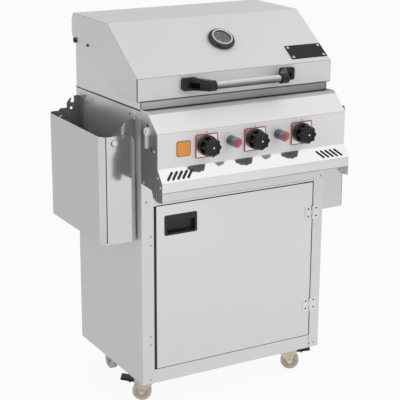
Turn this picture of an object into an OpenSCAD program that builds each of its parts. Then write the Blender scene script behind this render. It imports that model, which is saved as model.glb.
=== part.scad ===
// Gas barbecue: a cabinet on casters, an overhanging control panel, a sloped lid
// and two side shelves that are stored folded down.
// Sections are drawn from the cabinet front face (y = 0) and the floor (z = 0),
// then everything moves back so that the middle of the depth is at the origin.

/* [Cabinet] */
// Width over the side panels
cab_w = 640; // [600:5:700]
// Depth from the front face to the back face
cab_d = 446; // [436:2:480]
// Height of the cabinet without its casters
cab_h = 846; // [830:2:880]
// Thickness of the folded sheet
sheet = 1.2; // [1:0.1:1.4]
// Width of the post on the pull side of the door
post_l = 40; // [36:1:56]
// Width of the post on the hinge side of the door
post_r = 37; // [34:1:50]
// Height of the sill below the door opening
sill_h = 44; // [36:1:50]
// Depth of the folds round the door opening and the floor
fold_d = 20; // [19:1:24]
// Width of the vent slots in the back panel
vent_w = 70; // [50:2:80]

/* [Door] */
// Height of the door
door_h = 514; // [480:2:520]
// Thickness of the door pan
door_t = 18; // [17:0.5:19]
// Gap round the door
door_gap = 2; // [1.5:0.1:3]
// Gap on the pull side of the door
latch_gap = 9; // [6:0.5:10]
// Width of the recessed pull
pull_w = 109; // [90:1:130]
// Height of the recessed pull
pull_h = 62; // [50:1:80]
// Height of a hinge leaf
leaf_h = 42; // [36:1:60]

/* [Lid] */
// How far the lid reaches past each side of the cabinet
lid_over = 10; // [9:0.5:14]
// Height of the gap that shows the band under the lid
band_h = 30.5; // [27:0.5:34]
// Height of the upright front face of the lid
lid_front = 67; // [60:1:80]
// Depth of the sloping face, seen from above
slope_run = 192; // [180:1:200]
// Rise of the sloping face
slope_rise = 131.5; // [125:0.5:140]
// How far the lid front stands before the cabinet front
lid_lead = 3; // [2.5:0.5:6]
// Distance of the lid hinge from the back face
hinge_in = 26; // [25:0.5:29]
// Depth of the lid hinge below the lid top
hinge_down = 82; // [78:1:88]
// Diameter of the lid handle bar
bar_d = 22; // [18:1:25]
// Length of the bar between its brackets
bar_len = 224; // [200:2:300]
// Distance of the bar axis in front of the lid
bar_out = 57; // [50:1:65]
// Diameter of the thermometer case
gauge_d = 83; // [70:1:92]

/* [Control panel] */
// Distance from the cabinet front to the face with the knobs
panel_out = 101; // [96:1:112]
// Height of the face with the knobs
panel_face = 101; // [92:1:106]
// How far the lower roll stands before the face
roll_out = 28; // [24:1:34]
// Distance between two knobs
knob_pitch = 162; // [150:1:170]
// Diameter of the knob skirt
knob_d = 60; // [52:1:64]
// Depth of a knob
knob_t = 40; // [34:1:42]
// Number of lobes on a knob
knob_lobes = 8; // [6:1:10]
// Diameter of an ignition barrel
barrel_d = 29; // [24:1:30]
// Travel of an ignition button
button_travel = 5; // [3:0.5:5.5]
// Number of slanted slots on each side of the roll
slots = 5; // [3:1:6]

/* [Side shelves] */
// Length of a shelf from front to back
shelf_len = 388; // [340:2:392]
// Width of a shelf when it is up
shelf_w = 323; // [280:1:336]
// Depth of the shelf folds
shelf_fold = 106; // [100:1:114]
// Distance of the shelf pivot from the outer face
pivot_in = 42; // [39:1:46]
// Distance of the shelf pivot below the open edge
pivot_down = 20; // [18:1:22]
// Chamfer of the shelf corners
shelf_chamfer = 13; // [8:1:16]

/* [Casters] */
// Height from the floor to the cabinet
caster_h = 102; // [100:1:112]
// Wheel diameter
wheel_d = 60; // [54:1:62]
// Wheel width
wheel_w = 22; // [18:1:23]
// Distance from the kingpin to the wheel axle
trail = 24; // [20:1:28]
// Distance of the kingpins from the cabinet sides
caster_in = 72; // [62:1:84]
// Distance of the kingpins from the front and the back
caster_y = 97; // [80:1:110]
// Angle by which the front casters stand turned from pointing sideways
front_turn = 33; // [0:1:45]

/* [Cooking parts] */
// Diameter of the grate rods
rod_d = 6; // [5:0.5:8]
// Number of rods in each grate
grate_rods = 15; // [10:1:18]
// Diameter of a burner tube
burner_d = 28; // [24:1:30]
// Depth of the grease tray
tray_t = 18; // [14:1:22]

/* [Hidden] */
$fn = 48;

steel = "gainsboro";
dark = "dimgray";
black = [0.08, 0.08, 0.08];
tan_steel = "tan";

// Clearance of a pin in its hole, and of parts that slide past each other
fit = 0.05;
slip = 0.3;

half = cab_w / 2;
inner = half - sheet;
cab_top = caster_h + cab_h;

// Door opening, measured on the cabinet front
open_l = -half + post_l;
open_r = half - post_r;
open_b = caster_h + sill_h;
door_l = open_l + latch_gap;
door_r = open_r - door_gap;
door_b = open_b + door_gap;
door_top = door_b + door_h;
open_t = door_top + door_gap;
frame_top = cab_top - 148;
pull_x = door_l + 27;
pull_z = door_top - 32 - pull_h;
hinge_x = (door_r + open_r) / 2;
knuckle_r = 4;
hinge_y = -knuckle_r - 0.2;
hinge_pin_r = 2;
leaf_t = 2;
leaf_low = [door_b + 85, door_top - 77 - leaf_h];

// Lid and hood
lid_z = cab_top + band_h;
slope_y = -lid_lead;
slope_z = lid_z + lid_front;
lid_top = slope_z + slope_rise;
lid_half = half + lid_over;
slope_angle = atan2(slope_rise, slope_run);
slope_len = norm([slope_run, slope_rise]);
pivot_y = cab_d - hinge_in;
pivot_z = lid_top - hinge_down;
bolt_r = 4;
rest_pin = [pivot_y - 91, pivot_z - 3];
rest_pin_r = 3;
lid_profile = [
    [slope_y, lid_z], [slope_y, slope_z], [slope_y + slope_run, lid_top],
    [cab_d - 11, lid_top], [cab_d, lid_top - 21]
];
skirt_z = pivot_z + 30;
bar_y = slope_y - bar_out;
bar_z = lid_z + 39;
bar_r = bar_d / 2;
bracket_len = 68;
gauge_s = slope_len / 2 + 7;
plate_size = [128, 57];
plate_at = [lid_half - 3 - plate_size[0], 17];

// Firebox and what it holds
fire_half = half - 14;
fire_y0 = 14;
fire_y1 = cab_d - 20;
fire_top = cab_top + 17;
rack_z = lid_top - 122;
hood_y = cab_d - 2 * sheet;
grate_z = cab_top;
tamer_z = cab_top - 48;
ledge_w = 12;
burner_r = burner_d / 2;
tray_z = cab_top - 162;
tray_half = fire_half - 16;
slot_low = tray_z - 58;
slot_high = tray_z + 46;
slot_half = fire_half - 1;
cup_w = 90;
cup_h = 38;

// Control panel
face_y = -panel_out;
valve_z = cab_top - 90;
face_z1 = valve_z + 47;
face_z0 = face_z1 - panel_face;
roll_y = face_y - roll_out;
roll_z = face_z0 - 35;
lip_z = roll_z - 30;
roll_angle = atan2(face_z0 - roll_z, roll_out);
roll_len = norm([roll_out, face_z0 - roll_z]);
panel_line = [
    [0, cab_top + 3], [-40, cab_top + 10], [face_y, face_z1], [face_y, face_z0],
    [roll_y, roll_z], [roll_y, lip_z], [roll_y + 14, lip_z]
];
spark_z = valve_z + 4.5;
spark_x = knob_pitch / 2;
bezel_size = [72, 68];
stem_r = 4;
knob_gap = 4;
bezel_t = 3;
barrel_len = 40;
barrel_bore = 8;
button_out = button_travel + 1;
button_len = 33;
pipe_r = 9.5;
pipe_at = [face_y + 39, valve_z - 22];
inlet_x = half - 70;
inlet_r = 7.9;
inlet_len = 16;

// Side shelves: measured outwards from the cabinet side
shelf_gap = 4;
shelf_x0 = half + shelf_gap;
shelf_x1 = half + shelf_gap + shelf_fold;
shelf_y0 = 31;
chamfer_back = 8;
shelf_y1 = shelf_y0 + shelf_len;
shelf_top = cab_top - 68;
shelf_z0 = shelf_top - shelf_w;
shelf_px = shelf_x1 - pivot_in;
shelf_pz = shelf_top - pivot_down;
shelf_bolt_r = 5;
bracket_t = 2.5;

// Casters
wheel_r = wheel_d / 2;
axle_r = 4;
race_r = 22;
plate_t = 2.5;
crown_z = wheel_r + 50.8;
crown_t = 3.2;
kingpin_r = 6;
leg_in = 13;
leg_t = 2.5;
pedal_x = trail + 20;
pedal_z = wheel_r + 36;
pedal_pin_r = 2.5;
kingpin_x = half - caster_in;

// Everything moves back by the middle of the depth
front_reach = face_y - barrel_len - button_out;
mid_y = (cab_d + front_reach) / 2;

module place() translate([0, -mid_y, 0]) children();

module on_side(s) {
    if (s > 0) children();
    else mirror([1, 0, 0]) children();
}

// A box between two corners
module slab(a, b) translate(a) cube(b - a);

// Section of a folded sheet: a line of points and the same line moved by its thickness
function unit(v) = v / norm(v);
function side_of(p, i) = let (d = unit(p[i + 1] - p[i])) [-d[1], d[0]];
function moved(p, t) = [
    for (i = [0 : len(p) - 1])
        let (a = side_of(p, max(i - 1, 0)), b = side_of(p, min(i, len(p) - 2)))
            p[i] + (a + b) * t / (1 + a * b)
];
function turned(p) = [for (i = [len(p) - 1 : -1 : 0]) p[i]];

module folded(p, t = sheet) polygon(concat(p, turned(moved(p, t))));

// A section in y and z, drawn out along x from x0 to x1
module along_x(x0, x1) translate([x0, 0, 0]) rotate([90, 0, 90]) linear_extrude(x1 - x0) children();

// A section in x and z, drawn out along y from y0 to y1
module along_y(y0, y1) translate([0, y1, 0]) rotate([90, 0, 0]) linear_extrude(y1 - y0) children();

// A round bar along x or y, given by its two ends
module bar_x(x0, x1, y, z, r) translate([x0, y, z]) rotate([0, 90, 0]) cylinder(h = x1 - x0, r = r);
module bar_y(y0, y1, x, z, r) translate([x, y0, z]) rotate([-90, 0, 0]) cylinder(h = y1 - y0, r = r);

// A rectangle with rounded corners
module rounded(w, h, r) {
    translate([r, 0]) square([w - 2 * r, h]);
    translate([0, r]) square([w, h - 2 * r]);
    for (x = [r, w - r], y = [r, h - r]) translate([x, y]) circle(r);
}

// Faces with their own frames: the lid slope, the panel face and the slope of the roll
module on_slope(s) translate([0, slope_y, slope_z]) rotate([slope_angle, 0, 0]) translate([0, s, 0]) children();
module on_face(x, z) translate([x, face_y, z]) rotate([90, 0, 0]) children();
module on_roll(s) translate([0, roll_y, roll_z]) rotate([roll_angle, 0, 0]) translate([0, s, 0]) children();

// Cabinet

module cabinet_side(s) color(steel) place() on_side(s) {
    slab([inner, 0, caster_h], [half, cab_d, cab_top]);
}

module cabinet_side_left() cabinet_side(-1);
module cabinet_side_right() cabinet_side(1);

module cabinet_back() color(steel) place() difference() {
    slab([-inner, cab_d - sheet, caster_h], [inner, cab_d, cab_top]);
    slab([-slot_half, 0, slot_low], [slot_half, cab_d + 1, slot_high]);
    for (x = [-2 : 2], row = [0 : 3])
        slab([x * 100 - vent_w / 2, 0, caster_h + 60 + row * 22], [x * 100 + vent_w / 2, cab_d + 1, caster_h + 68 + row * 22]);
}

module cabinet_floor() color(steel) place() difference() {
    slab([-inner, sheet, caster_h], [inner, cab_d - sheet, caster_h + fold_d]);
    slab([-inner + sheet, 2 * sheet, caster_h + sheet], [inner - sheet, cab_d - 2 * sheet, cab_top]);
}

module front_frame() color(steel) place() {
    back = sheet + fold_d;
    difference() {
        slab([-inner, 0, caster_h], [inner, sheet, frame_top]);
        slab([open_l, -1, open_b], [open_r, back, open_t]);
    }
    difference() {
        slab([open_l - sheet, 0, open_b - sheet], [open_r + sheet, back, open_t + sheet]);
        slab([open_l, -1, open_b], [open_r, back + 1, open_t]);
    }
    for (s = [-1, 1]) on_side(s)
        slab([inner - sheet, sheet, caster_h + fold_d + 1], [inner, back, frame_top]);
}

// Hood: the fixed plates that stand inside the lid

module hood_side(s) color(steel) place() on_side(s) difference() {
    x0 = inner - sheet;
    low = cab_top - 43;
    knee_y = slope_y + 299;
    along_x(x0, inner) polygon([
        [2 * sheet, low], [2 * sheet, lid_z - 3], [fire_y0, lid_z - 3], [fire_y0 + 6, lid_z + 12],
        [150, lid_z + 14], [knee_y, rest_pin[1] - rest_pin_r - slip],
        [rest_pin[0] + 16, rest_pin[1] - rest_pin_r - slip], [pivot_y - 42, pivot_z + 17],
        [pivot_y + 12, pivot_z + 17], [hood_y, pivot_z + 5], [hood_y, low]
    ]);
    bar_x(x0 - 1, half, pivot_y, pivot_z, bolt_r + fit);
    for (y = rack_rods_y) bar_x(x0 - 1, half, y, rack_z, rod_d / 2 + fit);
}

module hood_side_left() hood_side(-1);
module hood_side_right() hood_side(1);

module hood_front() color(steel) place()
    along_x(-inner + sheet, inner - sheet) folded([
        [ledge_w, cab_top - 20], [2 * sheet, cab_top - 20], [2 * sheet, lid_z - 3], [ledge_w, lid_z - 3]
    ], -sheet);

module hood_back() color(steel) place()
    slab([-inner, hood_y, cab_top - 43], [inner, hood_y + sheet, pivot_z - 27]);

// Open frame under the grates: four walls, ledges for the grates and tamers, tray runners
module firebox() color(dark) place() difference() {
    union() {
        difference() {
            slab([-fire_half, fire_y0, tray_z], [fire_half, fire_y1, fire_top]);
            slab([-fire_half + sheet, fire_y0 + sheet, 0], [fire_half - sheet, fire_y1 - sheet, fire_top + 1]);
        }
        difference() {
            slab([-inner + sheet, 4 * sheet, fire_top - sheet], [inner - sheet, hood_y, fire_top]);
            slab([-fire_half, fire_y0, 0], [fire_half, fire_y1, fire_top + 1]);
        }
        for (z = [grate_z, tamer_z], y = [fire_y0, fire_y1 - ledge_w])
            slab([-fire_half, y, z - sheet], [fire_half, y + ledge_w, z]);
        for (s = [-1, 1]) on_side(s)
            slab([fire_half - ledge_w, fire_y0, tray_z], [fire_half, fire_y1, tray_z + sheet]);
    }
    slab([-fire_half - 1, fire_y1 - sheet, 0], [fire_half + 1, fire_y1 + 1, slot_high]);
    for (x = [-1 : 1]) {
        bar_y(0, fire_y0 + 5, x * knob_pitch, valve_z, burner_r + slip);
        bar_y(fire_y1 - 5, cab_d, x * knob_pitch, valve_z, bolt_r + fit);
    }
}

// Control panel

module slanted_slot() rotate(42) {
    square([5.6, 27], center = true);
    for (y = [-13.5, 13.5]) translate([0, y]) circle(2.8);
}

module control_panel() color(steel) place() difference() {
    along_x(-inner, inner) folded(panel_line);
    for (x = [-1 : 1]) on_face(x * knob_pitch, valve_z) cylinder(h = 20, r = stem_r + 4, center = true);
    for (s = [-1, 1]) on_face(s * spark_x, spark_z) cylinder(h = 20, r = 9 + slip, center = true);
    for (s = [-1, 1], i = [0 : slots - 1]) on_side(s)
        on_roll(roll_len / 2 - 2) translate([half - 97 + i * 16.2, 0, -6]) linear_extrude(12) slanted_slot();
}

module panel_side(s) color(steel) place() on_side(s) difference() {
    along_x(inner, half) polygon([
        [0, cab_top + 9], [-40, cab_top + 11], [face_y + 1, face_z1 + 1], [face_y, face_z0],
        [roll_y, roll_z], [roll_y, lip_z - 27], [roll_y + 35, lip_z - 30],
        [roll_y + 53, lip_z - 23], [roll_y + 62, lip_z - 3], [0, lip_z + 1]
    ]);
    bar_x(0, half + 1, -43, face_z1 + 16, 4);
    for (z = [face_z0 + 48, face_z0 + 56]) bar_x(0, half + 1, -64, z, 3.5);
    for (z = [lip_z - 20, lip_z - 8]) bar_x(0, half + 1, roll_y + 34, z, 2.5);
}

module panel_side_left() panel_side(-1);
module panel_side_right() panel_side(1);

module knob_bezels() color("white") place() for (x = [-1 : 1])
    on_face(x * knob_pitch, valve_z - 1) linear_extrude(bezel_t) difference() {
        square(bezel_size, center = true);
        translate([0, 1]) circle(stem_r + 4);
    }

// Gas train: inlet, manifold, valves and burners

module gas_manifold() color(dark) place() {
    y = pipe_at[0];
    z = pipe_at[1];
    difference() {
        union() {
            bar_x(-knob_pitch - 40, inlet_x + 12, y, z, pipe_r);
            translate([inlet_x, y, z - 36]) cylinder(h = 36, r = pipe_r);
            translate([inlet_x, y, z - 36]) cylinder(h = 10, r = 12, $fn = 6);
            translate([inlet_x, y, z - 36 - inlet_len]) cylinder(h = inlet_len, r = inlet_r);
            for (s = [-1, 1]) {
                slab([s * spark_x - 1, y, z - 9], [s * spark_x + 1, fire_y0, z + 9]);
                slab([s * spark_x - 1, fire_y0 - 2, z - 9], [s * spark_x + 14, fire_y0, z + 9]);
            }
        }
        bar_x(-knob_pitch - 36, inlet_x + 8, y, z, pipe_r - 2);
        translate([inlet_x, y, z - 60]) cylinder(h = 60, r = 5);
    }
}

module gas_valves() color("goldenrod") place() for (i = [-1 : 1]) {
    x = i * knob_pitch;
    difference() {
        union() {
            bar_y(face_y + 11, face_y + 59, x, valve_z, 12);
            bar_y(face_y + 59, face_y + 77, x, valve_z, 5);
            slab([x - 11, pipe_at[0] - 12, pipe_at[1]], [x + 11, pipe_at[0] + 12, valve_z]);
        }
        bar_y(0 - panel_out, face_y + 31, x, valve_z, stem_r + fit);
        bar_x(x - 20, x + 20, pipe_at[0], pipe_at[1], pipe_r + fit);
    }
}

module burner_tubes() color(dark) place() for (i = [-1 : 1]) {
    x = i * knob_pitch;
    difference() {
        union() {
            bar_y(face_y + 73, fire_y1 - 20, x, valve_z, burner_r);
            bar_y(-20, -6, x, valve_z, burner_r + 2);
            bar_y(fire_y1 - 21, fire_y1 + 6, x, valve_z, bolt_r);
        }
        bar_y(face_y, fire_y1 - 22, x, valve_z, burner_r - sheet);
        for (s = [-1, 1], k = [0 : 5])
            translate([x, 60 + k * 60, valve_z]) rotate([0, s * 60, 0]) cylinder(h = burner_r + 1, r = 2.5);
    }
}

module flame_tamers() color(dark) place() for (i = [-1 : 1])
    translate([i * knob_pitch, 0, tamer_z + slip]) along_y(fire_y0 + 2, fire_y1 - 2)
        folded([[-58, 0], [-58, 8], [0, 32], [58, 8], [58, 0]], -sheet);

// Cooking surfaces

module cooking_grate(s) color(dark) place() on_side(s) {
    x0 = 2;
    x1 = fire_half - sheet - 1;
    y0 = fire_y0 + sheet + 2;
    y1 = fire_y1 - sheet - 2;
    r = rod_d / 2;
    z = grate_z + r + slip;
    step = (x1 - x0 - rod_d) / (grate_rods - 1);
    for (i = [0 : grate_rods - 1]) bar_y(y0 + r, y1 - r, x0 + r + i * step, z, r);
    for (y = [y0 + r, y1 - r]) bar_x(x0 + r, x1 - r, y, z, r);
    for (y = [y0 + 90, y1 - 90]) slab([x0 + r, y - 2, z - 9], [x1 - r, y + 2, z]);
}

module cooking_grate_left() cooking_grate(-1);
module cooking_grate_right() cooking_grate(1);

rack_rods_y = [pivot_y - 142, pivot_y - 20];

module warming_rack() color(dark) place() {
    for (y = rack_rods_y) bar_x(-inner + 0.2, inner - 0.2, y, rack_z, rod_d / 2);
    for (i = [-7 : 7]) bar_y(rack_rods_y[0], rack_rods_y[1], i * 38, rack_z, 2);
}

// Ignition barrels and buttons, and the knobs: all turned about an axis out of the face

module ignition_barrel() {
    r = barrel_d / 2;
    rotate_extrude() polygon([
        [0, -19], [9, -19], [9, 0], [r, 0], [r, 5], [r - 1, 6], [r - 1, 11], [r, 12], [r, 20],
        [r - 1.5, 21], [r - 1.5, 25], [r, 26], [r, barrel_len - 2], [r - 2, barrel_len],
        [barrel_bore + 0.1, barrel_len], [barrel_bore + 0.1, 7], [0, 7]
    ]);
}

module ignition_barrels() color(dark) place() for (s = [-1, 1]) on_face(s * spark_x, spark_z) {
    ignition_barrel();
    translate([0, 0, -sheet - 5]) difference() {
        cylinder(h = 4.8, r = 14, $fn = 6);
        translate([0, 0, -1]) cylinder(h = 7, r = 9 + fit);
    }
}

module ignition_button(s) color("red") place() on_face(s * spark_x, spark_z)
    rotate_extrude() polygon([
        [0, barrel_len + button_out - button_len], [barrel_bore, barrel_len + button_out - button_len],
        [barrel_bore, barrel_len + button_out - 2], [barrel_bore - 2, barrel_len + button_out],
        [0, barrel_len + button_out]
    ]);

module ignition_button_left() ignition_button(-1);
module ignition_button_right() ignition_button(1);

module knob(i) color(black) place() on_face(i * knob_pitch, valve_z) {
    r = knob_d / 2;
    grip_r = r - 3;
    top = knob_gap + knob_t;
    difference() {
        union() {
            rotate_extrude() polygon([
                [0, knob_gap], [r, knob_gap], [r, knob_gap + 9], [r - 0.8, knob_gap + 12], [r - 2, knob_gap + 13],
                [r - 3.2, knob_gap + 12], [r - 6, knob_gap + 7], [0, knob_gap + 7]
            ]);
            intersection() {
                translate([0, 0, knob_gap + 6]) linear_extrude(knob_t - 6) difference() {
                    circle(grip_r);
                    for (a = [0 : knob_lobes - 1]) rotate((a + 0.5) * 360 / knob_lobes)
                        translate([grip_r + 2.6, 0]) circle(grip_r * 0.31);
                }
                rotate_extrude() polygon([
                    [0, 0], [r - 6, 0], [r - 6, knob_gap + 10], [grip_r, knob_gap + 15], [grip_r, top - 5],
                    [grip_r - 1, top - 1.6], [grip_r - 3, top], [0, top]
                ]);
            }
        }
        translate([0, 0, -1]) cylinder(h = knob_t - 8, r = stem_r + fit);
        translate([0, 0, top - 1.5]) cylinder(h = 3, r = grip_r - 11);
    }
    translate([0, 0, top - 1.5]) cylinder(h = 1.8, r = 4);
    translate([0, 0, -29]) cylinder(h = knob_t + 18, r = stem_r);
}

module knob_left() knob(-1);
module knob_middle() knob(0);
module knob_right() knob(1);

// Lid

module lid_shell() color(steel) place() difference() {
    along_x(-lid_half + sheet, lid_half - sheet) folded(concat(lid_profile, [[cab_d, skirt_z]]), -sheet);
    on_slope(gauge_s) cylinder(h = 20, r = 6 + slip, center = true);
}

module lid_side(s) color(steel) place() on_side(s) {
    low = lid_z - 1.5;
    difference() {
        along_x(lid_half - sheet, lid_half) {
            polygon(concat(lid_profile, [
                [cab_d, pivot_z + 18], [pivot_y + 15, pivot_z], [pivot_y, pivot_z - 9], [pivot_y - 73, pivot_z - 10],
                [pivot_y - 102, pivot_z - 8], [slope_y + 163, low - 1], [slope_y, lid_z]
            ]));
            translate([pivot_y + 2, pivot_z + 6]) circle(15);
        }
        bar_x(inner, lid_half + 1, pivot_y, pivot_z, bolt_r + fit);
        bar_x(inner, lid_half + 1, rest_pin[0], rest_pin[1], rest_pin_r + fit);
    }
    slab([inner + 3, slope_y + sheet, lid_z], [lid_half - sheet, slope_y + 14, lid_z + sheet]);
}

module lid_side_left() lid_side(-1);
module lid_side_right() lid_side(1);

module lid_bolts() color(black) place() for (s = [-1, 1]) on_side(s) {
    bar_x(inner - 14, lid_half + 2, pivot_y, pivot_z, bolt_r);
    bar_x(lid_half, lid_half + 5, pivot_y, pivot_z, 8);
    bar_x(inner + slip, lid_half - sheet, pivot_y, pivot_z, 9);
    bar_x(inner - sheet - 6 - slip, inner - sheet - slip, pivot_y, pivot_z, 7);
    bar_x(inner - sheet, lid_half + 1, rest_pin[0], rest_pin[1], rest_pin_r);
    bar_x(lid_half, lid_half + 2.5, rest_pin[0], rest_pin[1], 4.5);
}

module handle_bar() color(steel) place() difference() {
    bar_x(-bar_len / 2 - 14, bar_len / 2 + 14, bar_y, bar_z, bar_r);
    bar_x(-bar_len, bar_len, bar_y, bar_z, bar_r - 1.5);
}

// Moulded bracket: a foot on the lid face, a swept arm and a socket round the bar end
module handle_bracket(s) color(black) place() on_side(s) {
    socket_x = bar_len / 2;
    foot_x = socket_x + bracket_len;
    socket_r = bar_r + 4;
    difference() {
        union() {
            hull() for (x = [foot_x - 30, foot_x + 4], z = [bar_z - 11, bar_z + 13])
                bar_y(slope_y - 13, slope_y, x, z, 7, $fn = 24);
            hull() {
                bar_x(socket_x, socket_x + 20, bar_y, bar_z, socket_r, $fn = 32);
                for (z = [bar_z - 11, bar_z + 13]) bar_y(slope_y - 13, slope_y - 4, foot_x - 22, z, 7, $fn = 24);
            }
            bar_x(socket_x - 1, socket_x + 22, bar_y, bar_z, socket_r + 0.6);
        }
        bar_x(socket_x - 2, socket_x + 14.2, bar_y, bar_z, bar_r + fit);
        hull() for (x = [foot_x - 8, foot_x - 28]) bar_y(slope_y - 40, slope_y - 6, x, bar_z - 2, 8, $fn = 24);
        bar_y(slope_y - 30, slope_y + 1, foot_x - 4, bar_z, 3);
    }
    bar_y(slope_y - 6.5, slope_y - 3, foot_x - 6, bar_z - 1, 5.5);
}

module handle_bracket_left() handle_bracket(-1);
module handle_bracket_right() handle_bracket(1);

module thermometer_case() color(black) place() on_slope(gauge_s) {
    r = gauge_d / 2;
    rotate_extrude() polygon([
        [0, 0], [r - 4, 0], [r - 1.6, 2], [r - 0.4, 4.5], [r, 7.5], [r - 0.8, 10.5], [r - 3, 13.5], [r - 6.5, 15.8],
        [r - 10.5, 17], [r - 13, 17], [r - 14, 16], [r - 14, 13], [r - 15, 13], [r - 15, 8], [0, 8]
    ]);
    translate([0, 0, -20]) cylinder(h = 20, r = 6);
    translate([0, 0, -60]) cylinder(h = 41, r = 3);
}

module thermometer_dial() color("lightgray") place() on_slope(gauge_s) {
    translate([0, 0, 8]) cylinder(h = 1, r = gauge_d / 2 - 15 - fit);
    translate([0, 0, 9]) cylinder(h = 2.5, r = 2.6);
    rotate(-50) translate([-0.8, -4, 9.5]) cube([1.6, 24, 0.8]);
}

module thermometer_glass() color("lightblue") place() on_slope(gauge_s)
    translate([0, 0, 13]) cylinder(h = 1.6, r = gauge_d / 2 - 14 - fit);

module blank_plate() color(black) place() on_slope(plate_at[1]) translate([plate_at[0], 0, 0]) {
    cube([plate_size[0], plate_size[1], 1.5]);
    for (x = [9, plate_size[0] - 9], y = [8, plate_size[1] - 8])
        translate([x, y, 1.5]) rotate_extrude() intersection() {
            translate([0, -3]) circle(5);
            square([5, 3]);
        }
}

// Door

module door_panel() color(steel) place() difference() {
    slab([door_l, 0, door_b], [door_r, door_t, door_top]);
    slab([door_l + sheet, sheet, door_b + sheet], [door_r - sheet, door_t - sheet, door_top - sheet]);
    slab([door_l + 15, sheet, door_b + 15], [door_r - 15, door_t + 1, door_top - 15]);
    slab([pull_x + 4 - slip, -1, pull_z + 4 - slip],
         [pull_x + pull_w - 4 + slip, door_t, pull_z + pull_h - 4 + slip]);
}

module door_pull() color(black) place() difference() {
    floor_y = door_t - 4;
    union() {
        along_y(-2, 0) translate([pull_x, pull_z]) rounded(pull_w, pull_h, 5);
        slab([pull_x + 4, -2, pull_z + 4], [pull_x + pull_w - 4, door_t - 2, pull_z + pull_h - 4]);
    }
    along_y(-3, floor_y) translate([pull_x + 7, pull_z + 9]) rounded(pull_w - 14, pull_h - 28, 3);
    slab([pull_x + 7, 1, pull_z + 9], [pull_x + pull_w - 7, floor_y, pull_z + pull_h - 7]);
    along_x(pull_x + 7, pull_x + pull_w - 7) polygon([
        [-3, pull_z + 5.8], [-2, pull_z + 6], [floor_y, pull_z + 14], [floor_y, pull_z + 16], [-3, pull_z + 16]
    ]);
}

module knuckle(z0, z1) difference() {
    translate([hinge_x, hinge_y, z0]) cylinder(h = z1 - z0, r = knuckle_r);
    translate([hinge_x, hinge_y, z0 - 1]) cylinder(h = z1 - z0 + 2, r = hinge_pin_r + fit);
}

// Flat leaf with two countersunk screw holes
module leaf(x0, x1, z) {
    mid = (x0 + x1) / 2;
    difference() {
        along_y(-leaf_t, 0) translate([x0, z]) rounded(x1 - x0, leaf_h, 4);
        for (k = [0.2, 0.8]) translate([mid, -leaf_t, z + k * leaf_h]) rotate([-90, 0, 0])
            cylinder(h = leaf_t * 0.6, r1 = 3.6, r2 = 2.4);
    }
}

// The door leaf carries the middle knuckle and the pin, the fixed leaf the outer two
module hinge_leaves_door() color(steel) place() for (z = leaf_low) {
    z0 = z + leaf_h * 0.3 + slip;
    z1 = z + leaf_h * 0.7 - slip;
    leaf(hinge_x - 26, hinge_x - 5, z);
    slab([hinge_x - 6, -leaf_t, z0], [hinge_x - 3.2, -0.4, z1]);
    knuckle(z0, z1);
    translate([hinge_x, hinge_y, z + 0.5]) cylinder(h = leaf_h - 1, r = hinge_pin_r);
}

module hinge_leaves_fixed() color(steel) place() for (z = leaf_low) {
    leaf(hinge_x + 5, hinge_x + 24, z);
    for (k = [[z, z + leaf_h * 0.3], [z + leaf_h * 0.7, z + leaf_h]]) {
        slab([hinge_x + 3.2, -leaf_t, k[0]], [hinge_x + 6, -0.4, k[1]]);
        knuckle(k[0], k[1]);
    }
}

module door_catch() color(black) place() {
    z = door_b + door_h * 0.6;
    slab([open_l - sheet - 12, door_t + slip + 1, z], [open_l - sheet, door_t + 14, z + 40]);
    slab([open_l - sheet - 12, door_t + slip + 4, z + 4], [door_l + 15, door_t + 12, z + 36]);
    slab([door_l + 3, door_t + slip, z + 8], [door_l + 13, door_t + slip + 5, z + 32]);
}

// Side shelves, stored folded down with the open edge up

shelf_plan = [
    [shelf_x0, shelf_y0], [shelf_x1 - shelf_chamfer, shelf_y0], [shelf_x1, shelf_y0 + shelf_chamfer + chamfer_back],
    [shelf_x1, shelf_y1 - shelf_chamfer - chamfer_back], [shelf_x1 - shelf_chamfer, shelf_y1], [shelf_x0, shelf_y1]
];

module shelf(s) color(steel) place() on_side(s) {
    lip_top = shelf_pz - 142;
    difference() {
        translate([0, 0, shelf_z0]) linear_extrude(shelf_w) folded(shelf_plan);
        bar_y(shelf_y0 - 1, shelf_y1 + 1, shelf_px, shelf_pz, shelf_bolt_r + fit);
        // The corner next to the cabinet is cut back so that it clears the side as it turns
        for (y = [shelf_y0 - 1, shelf_y1 - 5]) translate([0, y, 0]) along_y(0, 6)
            polygon([[shelf_x0 - 1, shelf_top - 20], [shelf_x0 + 12, shelf_top + 1], [shelf_x0 - 1, shelf_top + 1]]);
    }
    translate([0, 0, shelf_z0]) linear_extrude(sheet) polygon(shelf_plan);
    for (y = [shelf_y0, shelf_y1 - 13]) slab([shelf_x0, y, shelf_z0], [shelf_x0 + sheet, y + 13, lip_top]);
}

module shelf_left() shelf(-1);
module shelf_right() shelf(1);

// Bracket plate: bolted to the cabinet side, with a round notch and horn on its top edge.
// The horn stays inside the edge of the raised shelf, and the foot inside its bend.
module bracket_shape() difference() {
    horn = shelf_px - pivot_down - 1.5;
    bend = shelf_pz + pivot_in - shelf_chamfer - 2;
    polygon([
        [half, shelf_top + 41], [half + 9, shelf_top + 43.5], [half + 22, shelf_top + 43],
        [half + 22, shelf_top + 28], [half + 33, shelf_top + 37.5], [horn - 6, shelf_top + 31],
        [horn, shelf_top + 21], [horn, bend], [shelf_px, bend], [shelf_px + 13, shelf_pz + 13],
        [shelf_px + 14, shelf_pz - 10], [shelf_px + 2, shelf_pz - 18], [half + 22, shelf_top - 110],
        [half, shelf_top - 122]
    ]);
    translate([half + 27.5, shelf_top + 28]) circle(6.5);
    translate([half + 32, shelf_top + 5]) square(8, center = true);
}

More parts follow.
